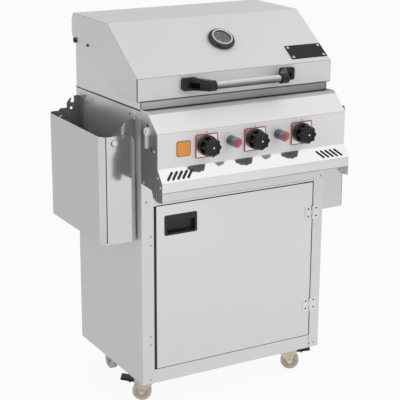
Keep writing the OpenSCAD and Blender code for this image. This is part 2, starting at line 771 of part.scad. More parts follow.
module shelf_brackets(s) color(dark) place() on_side(s) {
    wall = sheet + 0.2;
    tab = 26;
    for (side = [0, 1]) {
        y = side == 0 ? shelf_y0 + wall : shelf_y1 - wall - bracket_t;
        tab_y = side == 0 ? y : y + bracket_t - tab;
        bolt_y = side == 0 ? shelf_y0 : shelf_y1;
        out = side == 0 ? -1 : 1;
        difference() {
            union() {
                along_y(y, y + bracket_t) bracket_shape();
                slab([half, tab_y, shelf_top - 122], [half + bracket_t, tab_y + tab, shelf_top + 41]);
            }
            bar_y(y - 1, y + bracket_t + 1, shelf_px, shelf_pz, shelf_bolt_r + fit);
        }
        bar_y(min(bolt_y + out * slip, y - out * 5), max(bolt_y + out * slip, y + bracket_t - out * 2),
              shelf_px, shelf_pz, shelf_bolt_r);
        bar_y(min(bolt_y + out * slip, bolt_y + out * 4.3), max(bolt_y + out * slip, bolt_y + out * 4.3),
              shelf_px, shelf_pz, 8.5);
    }
}

module shelf_brackets_left() shelf_brackets(-1);
module shelf_brackets_right() shelf_brackets(1);

// Grease tray and cup

module grease_tray() color(steel) place() {
    floor_z = tray_z + 1.4 - tray_t + sheet;
    difference() {
        union() {
            slab([-tray_half, fire_y0 + 6, floor_z], [tray_half, cab_d - sheet, tray_z + sheet + 0.2 + sheet]);
            slab([-fire_half + sheet + 1, fire_y0 + 6, tray_z + sheet + 0.2],
                 [fire_half - sheet - 1, fire_y1, tray_z + 2 * sheet + 0.2]);
        }
        slab([-tray_half + sheet, fire_y0 + 6 + sheet, floor_z + sheet],
             [tray_half - sheet, cab_d - 2 * sheet, cab_top]);
        translate([0, (fire_y0 + fire_y1) / 2, floor_z - 1]) cylinder(h = 5, r = 8);
    }
    difference() {
        slab([-slot_half + 1, cab_d - sheet, slot_low + 1], [slot_half - 1, cab_d, slot_high - 1]);
        slab([-45, 0, slot_low + 24], [45, cab_d + 1, slot_low + 42]);
    }
}

module grease_cup() color(steel) place() {
    top = tray_z + 1.4 - tray_t + sheet;
    y = (fire_y0 + fire_y1) / 2;
    difference() {
        union() {
            slab([-cup_w / 2, y - cup_w / 2, top - cup_h], [cup_w / 2, y + cup_w / 2, top]);
            slab([-cup_w / 2 - 8, y - cup_w / 2, top - sheet], [cup_w / 2 + 8, y + cup_w / 2, top]);
        }
        slab([-cup_w / 2 + sheet, y - cup_w / 2 + sheet, top - cup_h + sheet],
             [cup_w / 2 - sheet, y + cup_w / 2 - sheet, top + 1]);
    }
}

// Casters: drawn about the kingpin with the wheel trailing towards +x, then turned
// as they came to rest; the front ones point outwards, the rear ones straight back.

module at_caster(s, end, turn = 0) {
    y = end == 0 ? caster_y : cab_d - caster_y;
    place() translate([s * kingpin_x, y, 0]) rotate(turn) children();
}

module front_caster(s) at_caster(s, 0, s > 0 ? -front_turn : 180 - front_turn) children();
module rear_caster(s) at_caster(s, 1, 90) children();

module caster_plate() {
    top = crown_z + crown_t + slip;
    difference() {
        slab([-30, -30, caster_h - plate_t], [30, 30, caster_h]);
        for (x = [-22, 22], y = [-22, 22]) translate([x, y, caster_h - 5]) cylinder(h = 8, r = 3.2);
    }
    translate([0, 0, top]) cylinder(h = caster_h - plate_t - top, r = race_r - 4);
    translate([0, 0, top]) cylinder(h = 6, r = race_r);
    translate([0, 0, crown_z - 3]) cylinder(h = 8, r = kingpin_r);
    translate([0, 0, crown_z - slip - 2.5]) cylinder(h = 2.5, r = 9);
}

module caster_plates() color(tan_steel) for (s = [-1, 1], end = [0, 1]) at_caster(s, end) caster_plate();

module caster_leg() {
    translate([trail, wheel_r]) circle(9);
    polygon([
        [-19, crown_z + crown_t], [22, crown_z + crown_t], [pedal_x + 4, pedal_z + 5], [pedal_x + 4, pedal_z - 5],
        [trail + 15, wheel_r + 22], [trail + 8.6, wheel_r + 2.5], [trail - 8.6, wheel_r - 2.5], [-19, crown_z - 12]
    ]);
}

module caster_fork() {
    difference() {
        translate([0, 0, crown_z]) cylinder(h = crown_t, r = race_r + 2);
        translate([0, 0, crown_z - 1]) cylinder(h = crown_t + 2, r = kingpin_r + fit);
    }
    for (y = [-leg_in - leg_t, leg_in]) along_y(y, y + leg_t) caster_leg();
    bar_y(-leg_in - leg_t - 4, leg_in + leg_t + 4, trail, wheel_r, axle_r);
    for (y = [-leg_in - leg_t - 3.5, leg_in + leg_t]) bar_y(y, y + 3.5, trail, wheel_r, 6.5);
}

module caster_wheel() {
    w = wheel_w / 2;
    translate([trail, 0, wheel_r]) rotate([90, 0, 0]) rotate_extrude() polygon(concat(
        [[axle_r + fit, -leg_in + 0.2], [9, -leg_in + 0.2], [9, -w + 2], [wheel_r - 12, -w + 2], [wheel_r - 11, -w]],
        [for (a = [-90 : 15 : 90]) [wheel_r - 5 + 5 * cos(a), (w - 5) * sign(a) + 5 * sin(a)]],
        [[wheel_r - 11, w], [wheel_r - 12, w - 2], [9, w - 2], [9, leg_in - 0.2], [axle_r + fit, leg_in - 0.2]]
    ));
}

// Brake pedal: a hub on a cross pin between the legs, and a tread that slopes up outwards
module brake_pedal() {
    hub_r = 5;
    difference() {
        union() {
            bar_y(-leg_in + 0.4, leg_in - 0.4, pedal_x, pedal_z, hub_r);
            along_y(-leg_in + 0.4, leg_in - 0.4) polygon([
                [pedal_x, pedal_z + hub_r], [pedal_x + 12, pedal_z + hub_r + 1],
                [pedal_x + 12, pedal_z - 2], [pedal_x, pedal_z - hub_r]
            ]);
            along_y(-17, 17) polygon([
                [pedal_x + 8, pedal_z + 7], [pedal_x + 43, pedal_z + 13], [pedal_x + 46, pedal_z + 10],
                [pedal_x + 46, pedal_z + 5], [pedal_x + 8, pedal_z - 1]
            ]);
            along_y(-2, 2) polygon([
                [pedal_x + 18, pedal_z + 4], [pedal_x + 22, pedal_z - 9], [pedal_x + 17, pedal_z - 10],
                [pedal_x + 10, pedal_z + 2]
            ]);
        }
        bar_y(-20, 20, pedal_x, pedal_z, pedal_pin_r + fit);
    }
}

module caster_fork_front_left() color(tan_steel) front_caster(-1) fork_with_pin();
module caster_fork_front_right() color(tan_steel) front_caster(1) fork_with_pin();
module caster_fork_rear_left() color(tan_steel) rear_caster(-1) caster_fork();
module caster_fork_rear_right() color(tan_steel) rear_caster(1) caster_fork();

module fork_with_pin() {
    caster_fork();
    bar_y(-leg_in - leg_t - 1, leg_in + leg_t + 1, pedal_x, pedal_z, pedal_pin_r);
}

module caster_wheel_front_left() color("darkgray") front_caster(-1) caster_wheel();
module caster_wheel_front_right() color("darkgray") front_caster(1) caster_wheel();
module caster_wheel_rear_left() color("darkgray") rear_caster(-1) caster_wheel();
module caster_wheel_rear_right() color("darkgray") rear_caster(1) caster_wheel();
module brake_pedal_left() color(black) front_caster(-1) brake_pedal();
module brake_pedal_right() color(black) front_caster(1) brake_pedal();

cabinet_side_left();
cabinet_side_right();
cabinet_back();
cabinet_floor();
front_frame();
hood_side_left();
hood_side_right();
hood_front();
hood_back();
firebox();
control_panel();
panel_side_left();
panel_side_right();
knob_bezels();
gas_manifold();
gas_valves();
burner_tubes();
flame_tamers();
cooking_grate_left();
cooking_grate_right();
warming_rack();
ignition_barrels();
shelf_brackets_left();
shelf_brackets_right();
caster_plates();
door_catch();
hinge_leaves_fixed();
lid_shell();
lid_side_left();
lid_side_right();
handle_bar();
handle_bracket_left();
handle_bracket_right();
thermometer_case();
thermometer_dial();
thermometer_glass();
blank_plate();
lid_bolts();
door_panel();
door_pull();
hinge_leaves_door();
shelf_left();
shelf_right();
knob_left();
knob_middle();
knob_right();
ignition_button_left();
ignition_button_right();
grease_tray();
grease_cup();
caster_fork_front_left();
caster_fork_front_right();
caster_fork_rear_left();
caster_fork_rear_right();
caster_wheel_front_left();
caster_wheel_front_right();
caster_wheel_rear_left();
caster_wheel_rear_right();
brake_pedal_left();
brake_pedal_right();
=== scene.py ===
import math

import bmesh
import bpy
from mathutils import Matrix, Vector


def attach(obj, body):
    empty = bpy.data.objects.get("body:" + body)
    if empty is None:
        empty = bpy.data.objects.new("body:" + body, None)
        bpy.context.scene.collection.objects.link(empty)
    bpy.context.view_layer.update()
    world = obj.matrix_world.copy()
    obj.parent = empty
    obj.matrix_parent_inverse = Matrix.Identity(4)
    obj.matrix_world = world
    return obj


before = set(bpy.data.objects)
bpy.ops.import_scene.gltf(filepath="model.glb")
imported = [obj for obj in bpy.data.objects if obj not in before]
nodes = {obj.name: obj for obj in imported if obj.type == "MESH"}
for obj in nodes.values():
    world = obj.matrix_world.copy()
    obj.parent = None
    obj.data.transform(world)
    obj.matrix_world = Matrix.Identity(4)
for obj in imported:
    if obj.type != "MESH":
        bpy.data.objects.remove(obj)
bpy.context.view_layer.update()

print("frame loaded:", len(nodes), "nodes")


def addObject(name, data):
    made = bpy.data.objects.new(name, data)
    bpy.context.scene.collection.objects.link(made)
    return made


# camera: metres, degrees, and millimetres for the lens and the sensor
cameraView = {"place": (-1.8696, -3.2305, 1.7269), "turn": 29.526, "down": 16.738, "roll": -0.28, "lens": 111.83,
              "sensor": 36, "reach": 60}


def addCamera():
    turn = math.radians(cameraView["turn"])
    down = math.radians(cameraView["down"])
    ahead = Vector((math.sin(turn) * math.cos(down), math.cos(turn) * math.cos(down), -math.sin(down)))
    camData = bpy.data.cameras.new("photoCamera")
    camData.sensor_width = cameraView["sensor"]
    camData.lens = cameraView["lens"]
    camData.clip_end = cameraView["reach"]
    cam = addObject("photoCamera", camData)
    look = ahead.to_track_quat("-Z", "Y")
    rolled = Matrix.Rotation(math.radians(cameraView["roll"]), 4, ahead) @ look.to_matrix().to_4x4()
    cam.matrix_world = Matrix.Translation(cameraView["place"]) @ rolled
    bpy.context.scene.camera = cam


addCamera()
print("camera in place")


# materials
def startMaterial(name):
    mat = bpy.data.materials.new(name)
    mat.use_nodes = True
    tree = mat.node_tree
    return mat, tree, tree.nodes["Principled BSDF"]


def place(tree, kind, **values):
    node = tree.nodes.new(kind)
    for key, value in values.items():
        if key in node.inputs:
            node.inputs[key].default_value = value
        else:
            setattr(node, key, value)
    return node


# a socket takes what another node gives, or else a plain number or colour
def feed(tree, socket, value):
    if isinstance(value, bpy.types.NodeSocket):
        tree.links.new(value, socket)
    else:
        socket.default_value = value


# a plain number stands for a grey
def rgb(tone):
    return (tone, tone, tone) if isinstance(tone, (int, float)) else tone


def objectCoords(tree, scale=(1, 1, 1)):
    coords = place(tree, "ShaderNodeTexCoord")
    mapping = place(tree, "ShaderNodeMapping", Scale=scale)
    tree.links.new(coords.outputs["Object"], mapping.inputs["Vector"])
    return mapping.outputs["Vector"]


def axes(tree, vector):
    split = place(tree, "ShaderNodeSeparateXYZ")
    tree.links.new(vector, split.inputs[0])
    return split.outputs


def noise(tree, vector, scale, detail, rough):
    tex = place(tree, "ShaderNodeTexNoise", Scale=scale, Detail=detail, Roughness=rough)
    tree.links.new(vector, tex.inputs["Vector"])
    return tex.outputs["Fac"]


# takes a value that runs from start to end into one that runs from low to high
def mapRange(tree, value, start, end, low, high, kind="LINEAR"):
    span = place(tree, "ShaderNodeMapRange", interpolation_type=kind)
    for name, number in (("Value", value), ("From Min", start), ("From Max", end), ("To Min", low), ("To Max", high)):
        feed(tree, span.inputs[name], number)
    return span.outputs["Result"]


def softStep(tree, value, start, end, low, high):
    return mapRange(tree, value, start, end, low, high, "SMOOTHSTEP")


noiseRange = (0.3, 0.7)  # most of a noise lies between these


def spread(tree, fac, low, high):
    return mapRange(tree, fac, *noiseRange, low, high)


# colours along a value: each stop is its place and its colour
def colourRamp(tree, fac, stops):
    ramp = place(tree, "ShaderNodeValToRGB")
    elements = ramp.color_ramp.elements
    while len(elements) < len(stops):
        elements.new(0.5)
    for element, (spot, tone) in zip(elements, stops):
        element.position = spot
        element.color = (*rgb(tone), 1)
    tree.links.new(fac, ramp.inputs["Fac"])
    return ramp.outputs["Color"]


def twoTone(tree, fac, tones):
    return colourRamp(tree, fac, list(zip(noiseRange, tones)))


def mixColours(tree, share, first, second):
    blend = place(tree, "ShaderNodeMix", data_type="RGBA")
    for spot, value in ((0, share), (6, first), (7, second)):
        feed(tree, blend.inputs[spot], value)
    return blend.outputs[2]


def mixShaders(tree, share, first, second):
    mix = place(tree, "ShaderNodeMixShader")
    for socket, value in zip(mix.inputs, (share, first, second)):
        tree.links.new(value, socket)
    return mix.outputs[0]


def mathNode(tree, operation, first, second):
    node = place(tree, "ShaderNodeMath", operation=operation)
    feed(tree, node.inputs[0], first)
    feed(tree, node.inputs[1], second)
    return node.outputs[0]


def bump(tree, shader, height, strength, distance):
    node = place(tree, "ShaderNodeBump", Strength=strength, Distance=distance)
    tree.links.new(height, node.inputs["Height"])
    tree.links.new(node.outputs["Normal"], shader.inputs["Normal"])


steelLook = {"colour": (0.84, 0.84, 0.84), "shade": (0.81, 0.81, 0.815), "patch": 2.2, "rough": (0.045, 0.085),
             "grain": 260, "stretch": 0.03, "mirror": 0.88, "fade": 0.004, "bump": 0.02, "bumpDepth": 0.0003}


# polished stainless with a faint grain along one axis. It may be duller between two heights, and pass into a
# painted shade along an axis: shade is that axis, where the painted shade is full, where it ends, and its tone.
# A colour factor below one darkens the whole steel, painted shade as well
def polishedSteel(name, grainAlong="X", rough=None, dullBetween=None, dullBy=0.0, mirror=None, paintedShadeTint=1.0, shade=None):
    mat, tree, shader = startMaterial(name)
    stretch = [steelLook["stretch"] if axis == grainAlong else 1 for axis in "XYZ"]
    fine = noise(tree, objectCoords(tree, stretch), steelLook["grain"], 6, 0.6)
    broad = noise(tree, objectCoords(tree), steelLook["patch"], 3, 0.5)
    metal = mirror or steelLook["mirror"]
    shader.inputs["Metallic"].default_value = metal
    # a colour factor below one darkens the steel: painted shade
    colour = twoTone(tree, broad, [tuple(c * paintedShadeTint for c in steelLook[key]) for key in ("shade", "colour")])
    roughness = spread(tree, fine, *(rough or steelLook["rough"]))
    where = axes(tree, objectCoords(tree))
    if dullBetween:
        fade = steelLook["fade"]
        start, end = [softStep(tree, where["Z"], z - fade, z + fade, 0.0, dullBy) for z in dullBetween]
        dull = mathNode(tree, "SUBTRACT", start, end)
        roughness = mathNode(tree, "ADD", roughness, dull)
        tree.links.new(mathNode(tree, "SUBTRACT", metal, dull), shader.inputs["Metallic"])
    # painted shade and reflection: the colour passes into a flat grey along an axis
    if shade:
        axis, full, clear, tone = shade
        colour = mixColours(tree, mapRange(tree, where[axis], full, clear, 0.0, 1.0), (*rgb(tone), 1), colour)
    tree.links.new(colour, shader.inputs["Base Color"])
    tree.links.new(roughness, shader.inputs["Roughness"])
    bump(tree, shader, fine, steelLook["bump"], steelLook["bumpDepth"])
    return mat


# painted shade and highlight of the handle tube: tones run from its underside to its top, and its rear takes a painted
# dark line
tubeShadeLook = {"bottom": 1.0065, "top": 1.0285, "rear": -0.1995, "rearShadeFade": (0.0005, 0.0028), "rearShadeTone": 0.16,
            "tones": [(0.0, 0.05), (0.2, 0.10), (0.42, 0.22), (0.62, 0.36), (0.82, 0.52), (0.95, 0.92)],
            "rough": (0.10, 0.16), "grain": 320, "stretch": 0.02}


# bright tube with painted shade and highlight: darker towards its underside and along its rear, brightest near its top
def tubeSteel(name):
    mat, tree, shader = startMaterial(name)
    grain = noise(tree, objectCoords(tree, (tubeShadeLook["stretch"], 1, 1)), tubeShadeLook["grain"], 5, 0.6)
    where = axes(tree, objectCoords(tree))
    rise = mapRange(tree, where["Z"], tubeShadeLook["bottom"], tubeShadeLook["top"], 0.0, 1.0)
    start, end = [tubeShadeLook["rear"] + fade for fade in tubeShadeLook["rearShadeFade"]]
    rearShade = softStep(tree, where["Y"], start, end, 0.0, 1.0)
    colour = mixColours(tree, rearShade, colourRamp(tree, rise, tubeShadeLook["tones"]), (*rgb(tubeShadeLook["rearShadeTone"]), 1))
    shader.inputs["Metallic"].default_value = 1
    tree.links.new(colour, shader.inputs["Base Color"])
    tree.links.new(spread(tree, grain, *tubeShadeLook["rough"]), shader.inputs["Roughness"])
    return mat


def plainMetal(name, tones, rough, grain=90, bumpBy=0.05):
    mat, tree, shader = startMaterial(name)
    speck = noise(tree, objectCoords(tree), grain, 5, 0.6)
    shader.inputs["Metallic"].default_value = 1
    tree.links.new(twoTone(tree, speck, tones), shader.inputs["Base Color"])
    tree.links.new(spread(tree, speck, *rough), shader.inputs["Roughness"])
    bump(tree, shader, speck, bumpBy, 0.0005)
    return mat


# plastic, rubber, paint and everything else that is no bare metal
def mouldedPlastic(name, tones, rough, grain=400, coat=0.0, bumpBy=0.06, shine=0.5):
    mat, tree, shader = startMaterial(name)
    speck = noise(tree, objectCoords(tree), grain, 4, 0.6)
    broad = noise(tree, objectCoords(tree), 25, 3, 0.5)
    shader.inputs["Coat Weight"].default_value = coat
    shader.inputs["Coat Roughness"].default_value = 0.08
    shader.inputs["Specular IOR Level"].default_value = shine
    tree.links.new(twoTone(tree, broad, tones), shader.inputs["Base Color"])
    tree.links.new(spread(tree, speck, *rough), shader.inputs["Roughness"])
    bump(tree, shader, speck, bumpBy, 0.0003)
    return mat


glassLook = {"colour": (0.93, 0.95, 0.96, 1), "bend": 1.45, "rough": (0.02, 0.06)}


def clearGlass(name):
    mat, tree, shader = startMaterial(name)
    smear = noise(tree, objectCoords(tree), 30, 3, 0.5)
    shader.inputs["Transmission Weight"].default_value = 1
    shader.inputs["IOR"].default_value = glassLook["bend"]
    shader.inputs["Base Color"].default_value = glassLook["colour"]
    tree.links.new(spread(tree, smear, *glassLook["rough"]), shader.inputs["Roughness"])
    return mat


# painted shade and reflection: tints below one give darker copies of the same steel; the shade of bandSheet darkens it
# to the right, of doorSheet towards its bottom, of panelSheet in a strip along its top that stands for the reflected
# band above, and of panelEndSheet low down, for the reflected shelf bracket
polished = {
    "sheetAcross": {},
    "sheetUp": {"grainAlong": "Z"},
    "sheetDeep": {"grainAlong": "Y"},
    "sideSheet": {"grainAlong": "Z", "rough": (0.26, 0.34), "mirror": 0.8, "paintedShadeTint": 0.95},
    "lidSheet": {"rough": (0.52, 0.58), "mirror": 0.25, "paintedShadeTint": 0.90},
    "lidSideSheet": {"grainAlong": "Y", "rough": (0.30, 0.36)},
    "frontSheet": {"rough": (0.16, 0.22), "paintedShadeTint": 0.92},
    "shelfSheet": {"grainAlong": "Z", "rough": (0.10, 0.16), "paintedShadeTint": 0.87},
    "bandSheet": {"rough": (0.42, 0.48), "shade": ("X", 0.33, -0.70, 0.36)},
    "doorSheet": {"grainAlong": "Z", "rough": (0.16, 0.22), "shade": ("Z", 0.10, 0.62, 0.76)},
    "panelSheet": {"rough": (0.05, 0.08), "dullBetween": (0.804, 1.2), "dullBy": 0.45,
                   "shade": ("Z", 0.9525, 0.9490, 0.46)},
    "panelEndSheet": {"grainAlong": "Z", "rough": (0.30, 0.38), "shade": ("Z", 0.895, 0.945, 0.30)},
    "panelEndBright": {"grainAlong": "Z", "rough": (0.30, 0.38), "mirror": 0.35},
}
metals = {
    # dark grey for lines along creases and sheet edges: painted shade
    "crease": {"tones": (0.40, 0.46), "rough": (0.35, 0.45), "grain": 300, "bumpBy": 0.01},
    "gap": {"tones": (0.05, 0.07), "rough": (0.5, 0.6), "grain": 300, "bumpBy": 0.01},
    "burner": {"tones": ((0.30, 0.29, 0.28), (0.42, 0.41, 0.40)), "rough": (0.35, 0.5)},
    "bezel": {"tones": (0.84, 0.9), "rough": (0.3, 0.36), "grain": 300, "bumpBy": 0.02},
    "pipe": {"tones": (0.10, 0.14), "rough": (0.4, 0.55)},
    "brass": {"tones": ((0.5, 0.36, 0.14), (0.6, 0.45, 0.2)), "rough": (0.3, 0.42)},
    "chrome": {"tones": (0.78, 0.82), "rough": (0.05, 0.1), "grain": 60, "bumpBy": 0.01},
    "darkChrome": {"tones": ((0.12, 0.125, 0.13), (0.17, 0.175, 0.18)), "rough": (0.22, 0.32), "grain": 120,
                   "bumpBy": 0.02},
    "blackChrome": {"tones": (0.055, 0.07), "rough": (0.10, 0.14), "grain": 30, "bumpBy": 0.0},
    "plated": {"tones": ((0.62, 0.53, 0.36), (0.74, 0.66, 0.5)), "rough": (0.28, 0.4), "grain": 70, "bumpBy": 0.03},
    "blackScrew": {"tones": (0.03, 0.05), "rough": (0.3, 0.4)},
    "satinGrey": {"tones": ((0.26, 0.265, 0.27), (0.33, 0.335, 0.34)), "rough": (0.28, 0.36), "grain": 120,
                  "bumpBy": 0.02},
}
plastics = {
    "bracketGrey": {"tones": (0.15, 0.19), "rough": (0.35, 0.45), "grain": 120},
    "bezelRed": {"tones": ((0.42, 0.02, 0.04), (0.5, 0.03, 0.05)), "rough": (0.35, 0.45)},
    "castIron": {"tones": (0.012, 0.03), "rough": (0.5, 0.75), "grain": 220, "bumpBy": 0.5},
    "blackGloss": {"tones": (0.006, 0.010), "rough": (0.24, 0.34), "grain": 500, "coat": 0.05, "shine": 0.34},
    "blackSatin": {"tones": (0.012, 0.02), "rough": (0.4, 0.55), "grain": 600, "bumpBy": 0.12},
    "dialFace": {"tones": ((0.085, 0.087, 0.09), (0.11, 0.112, 0.115)), "rough": (0.4, 0.5)},
    "plateBlack": {"tones": (0.008, 0.014), "rough": (0.3, 0.42), "grain": 300, "shine": 0.25},
    "buttonRed": {"tones": ((0.60, 0.02, 0.02), (0.7, 0.035, 0.03)), "rough": (0.2, 0.3), "grain": 300, "coat": 0.4},
    "tyre": {"tones": ((0.50, 0.50, 0.49), (0.60, 0.60, 0.58)), "rough": (0.3, 0.42), "grain": 150, "coat": 0.25},
    "hubTan": {"tones": ((0.55, 0.40, 0.24), (0.66, 0.50, 0.32)), "rough": (0.35, 0.5), "grain": 150, "coat": 0.1},
    "markWhite": {"tones": (0.62, 0.70), "rough": (0.4, 0.5)},
    "markGrey": {"tones": (0.10, 0.13), "rough": (0.4, 0.5)},
    "lipGrey": {"tones": (0.42, 0.47), "rough": (0.3, 0.4), "grain": 300, "coat": 0.1},
    "zinc": {"tones": (0.80, 0.86), "rough": (0.2, 0.3), "grain": 300, "coat": 0.2, "bumpBy": 0.02},
    "enamelOrange": {"tones": ((0.78, 0.26, 0.01), (0.86, 0.31, 0.02)), "rough": (0.15, 0.25), "grain": 200,
                     "coat": 0.5},
    # near black for seams, print marks and the tile's rim, and for painted shade and shadow in slots, recesses and
    # joints
    "darkSeam": {"tones": (0.02, 0.03), "rough": (0.6, 0.8)},
}
finish = {"tube": tubeSteel("tube"), "glass": clearGlass("clearGlass")}
for make, looks in ((polishedSteel, polished), (plainMetal, metals), (mouldedPlastic, plastics)):
    for name, look in looks.items():
        finish[name] = make(name, **look)
print("materials ready:", len(finish))

# which finish each CAD node takes
nodeFinish = {
    "sheetAcross": ["cabinet_back", "cabinet_floor", "hood_back", "grease_tray", "grease_cup", "firebox"],
    "lidSheet": ["lid_shell"],
    "lidSideSheet": ["lid_side_left", "lid_side_right"],
    "frontSheet": ["front_frame"],
    "bandSheet": ["hood_front"],
    "panelEndSheet": ["panel_side_left"],
    "panelEndBright": ["panel_side_right"],
    "bracketGrey": ["shelf_brackets_left", "shelf_brackets_right"],
    "doorSheet": ["door_panel"],
    "panelSheet": ["control_panel"],
    "sideSheet": ["cabinet_side_left", "cabinet_side_right"],
    "shelfSheet": ["shelf_left", "shelf_right"],
    "sheetUp": ["hinge_leaves_fixed", "hinge_leaves_door"],
    "sheetDeep": ["hood_side_left", "hood_side_right"],
    "tube": ["handle_bar"],
    "burner": ["burner_tubes", "flame_tamers"],
    "bezel": ["knob_bezels"],
    "pipe": ["gas_manifold"],
    "brass": ["gas_valves"],
    "castIron": ["cooking_grate_left", "cooking_grate_right"],
    "chrome": ["warming_rack"],
    "darkChrome": ["ignition_barrels"],
    "blackChrome": ["thermometer_case"],
    "plated": ["caster_plates", "caster_fork_front_left", "caster_fork_front_right", "caster_fork_rear_left",
               "caster_fork_rear_right"],
    "blackGloss": ["handle_bracket_left", "handle_bracket_right", "knob_left", "knob_middle", "knob_right",
                   "brake_pedal_left", "brake_pedal_right"],
    "blackSatin": ["door_pull", "door_catch"],
    "blackScrew": ["lid_bolts"],
    "dialFace": ["thermometer_dial"],
    "glass": ["thermometer_glass"],
    "plateBlack": ["blank_plate"],
    "buttonRed": ["ignition_button_left", "ignition_button_right"],
    "tyre": ["caster_wheel_front_left", "caster_wheel_front_right", "caster_wheel_rear_left",
             "caster_wheel_rear_right"],
}


def dressNode(name, material):
    node = nodes[name]
    node.data.materials.clear()
    node.data.materials.append(material)


for finishName, names in nodeFinish.items():
    for name in names:
        dressNode(name, finish[finishName])

# folded sheet has a small radius along its bends and edges, in metres
bendRadius = {"lid_shell": 0.0008, "lid_side_left": 0.0004, "lid_side_right": 0.0004, "control_panel": 0.0008,
              "door_panel": 0.0006, "shelf_left": 0.0006, "shelf_right": 0.0006, "door_pull": 0.0012,
              "blank_plate": 0.0005, "knob_left": 0.0008, "knob_middle": 0.0008, "knob_right": 0.0008}
bendFrom = 25  # edges that turn by more degrees than this are rounded


def roundEdges(name, width):
    bevel = nodes[name].modifiers.new("edgeRadius", "BEVEL")
    bevel.width = width
    bevel.segments = 2
    bevel.limit_method = "ANGLE"
    bevel.angle_limit = math.radians(bendFrom)
    bevel.use_clamp_overlap = True
    bevel.harden_normals = True


for name, width in bendRadius.items():
    roundEdges(name, width)
print("CAD nodes dressed")

# making pieces, with the lengths of the CAD in millimetres
depthShift = -0.1495  # the CAD moves back by this much, so that the origin is mid-depth
mm = 0.001
sides = ((-1, "left"), (1, "right"))
knobPlaces = ((-1, "left"), (0, "middle"), (1, "right"))
plane = {"cabinetSide": 320, "lidSide": 330, "panelEnd": 318.6, "panelFace": -101}  # the cabinet front is 0
front = (0, -1, 0)


def at(x, y, z):
    return Vector((x * mm, y * mm + depthShift, z * mm))


# makes an object of a mesh: looks are names of finishes, smooth is an angle in degrees
def addPiece(name, bm, looks, body, smooth=None):
    bmesh.ops.remove_doubles(bm, verts=bm.verts, dist=1e-7)
    bmesh.ops.recalc_face_normals(bm, faces=bm.faces)
    mesh = bpy.data.meshes.new(name)
    bm.to_mesh(mesh)
    bm.free()
    piece = addObject(name, mesh)
    for look in looks:
        mesh.materials.append(finish[look])
    if smooth is not None:
        mesh.shade_smooth()
        mesh.set_sharp_from_angle(angle=math.radians(smooth))
    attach(piece, body)
    return piece


# a frame at a place, with its z along the normal
def facing(centre, normal, spin=0.0):
    normal = Vector(normal).normalized()
    turn = normal.to_track_quat("Z", "Y").to_matrix().to_4x4()
    return Matrix.Translation(centre) @ turn @ Matrix.Rotation(spin, 4, "Z")


# turns a frame about its own z until its x points towards a spot
def turnedTo(frameMatrix, spot):
    towards = frameMatrix.inverted() @ spot
    return frameMatrix @ Matrix.Rotation(math.atan2(towards.y, towards.x), 4, "Z")


# a frame on a sloping face: x across, s up the slope, lift out of the face
def onSlope(face, x, s, lift=0.0):
    rise, run = math.sin(face["angle"]), math.cos(face["angle"])
    spot = at(x, face["y"] + s * run, face["z"] + s * rise) + Vector((0, -rise, run)) * lift * mm
    return Matrix.Translation(spot) @ Matrix.Rotation(face["angle"], 4, "X")


# a frame on the panel face: x across, y up, z out of the face
def onPanel(x, z, lift=0.0):
    return Matrix.Translation(at(x, plane["panelFace"] - lift, z)) @ Matrix.Rotation(math.pi / 2, 4, "X")


# adds a turned shape: profile is a list of (radius, height), in millimetres
def addTurned(bm, profile, frameMatrix, steps=32, materialIndex=0):
    rings = []
    for radius, height in profile:
        if radius < 1e-6:
            rings.append([bm.verts.new(frameMatrix @ Vector((0, 0, height * mm)))])
            continue
        ring = []
        for k in range(steps):
            a = 2 * math.pi * k / steps
            spot = Vector((radius * mm * math.cos(a), radius * mm * math.sin(a), height * mm))
            ring.append(bm.verts.new(frameMatrix @ spot))
        rings.append(ring)
    for low, high in zip(rings, rings[1:]):
        for k in range(steps):
            n = (k + 1) % steps
            corners = [low[k % len(low)], low[n % len(low)], high[n % len(high)], high[k % len(high)]]
            unique = []
            for corner in corners:
                if corner not in unique:
                    unique.append(corner)
            if len(unique) > 2:
                face = bm.faces.new(unique)
                face.material_index = materialIndex


# adds a flat shape with a thickness: outline is a list of (x, y) in millimetres
def addSlab(bm, outline, low, high, frameMatrix, materialIndex=0):
    bottom = [bm.verts.new(frameMatrix @ Vector((x * mm, y * mm, low * mm))) for x, y in outline]
    top = [bm.verts.new(frameMatrix @ Vector((x * mm, y * mm, high * mm))) for x, y in outline]
    made = [bm.faces.new(list(reversed(bottom))), bm.faces.new(top)]
    count = len(outline)
    for k in range(count):
        n = (k + 1) % count
        made.append(bm.faces.new([bottom[k], bottom[n], top[n], top[k]]))
    for face in made:
        face.material_index = materialIndex


# adds a flat frame: the band between two outlines with the same number of points
def addFrameBand(bm, outer, inner, low, high, frameMatrix):
    levels = []
    for outline in (outer, inner):
        for h in (low, high):
            levels.append([bm.verts.new(frameMatrix @ Vector((x * mm, y * mm, h * mm))) for x, y in outline])
    count = len(outer)
    for k in range(count):
        n = (k + 1) % count
        for a, b in ((0, 1), (2, 3), (1, 3), (0, 2)):
            bm.faces.new([levels[a][k], levels[a][n], levels[b][n], levels[b][k]])


def roundedRect(width, height, radius, steps=5):
    points = []
    for cx, cy, start in ((1, 1, 0), (-1, 1, 90), (-1, -1, 180), (1, -1, 270)):
        for k in range(steps + 1):
            a = math.radians(start + 90 * k / steps)
            points.append((cx * (width / 2 - radius) + radius * math.cos(a),
                           cy * (height / 2 - radius) + radius * math.sin(a)))
    return points


def circle(radius, steps=64):
    angles = [2 * math.pi * k / steps for k in range(steps)]
    return [(math.cos(a) * radius, math.sin(a) * radius) for a in angles]


# head outline and cross recess as shares of the head's radius and height
screwLook = {"headRadius": 3.2, "headHeight": 1.3, "sunk": 0.3, "slotWidth": 0.8, "slotReach": 0.47,
             "slotHeights": (0.3, 0.86),
             "head": [(1, 0.35), (0.86, 0.75), (0.62, 1), (0.5, 1), (0.34, 0.45), (0, 0.4)]}


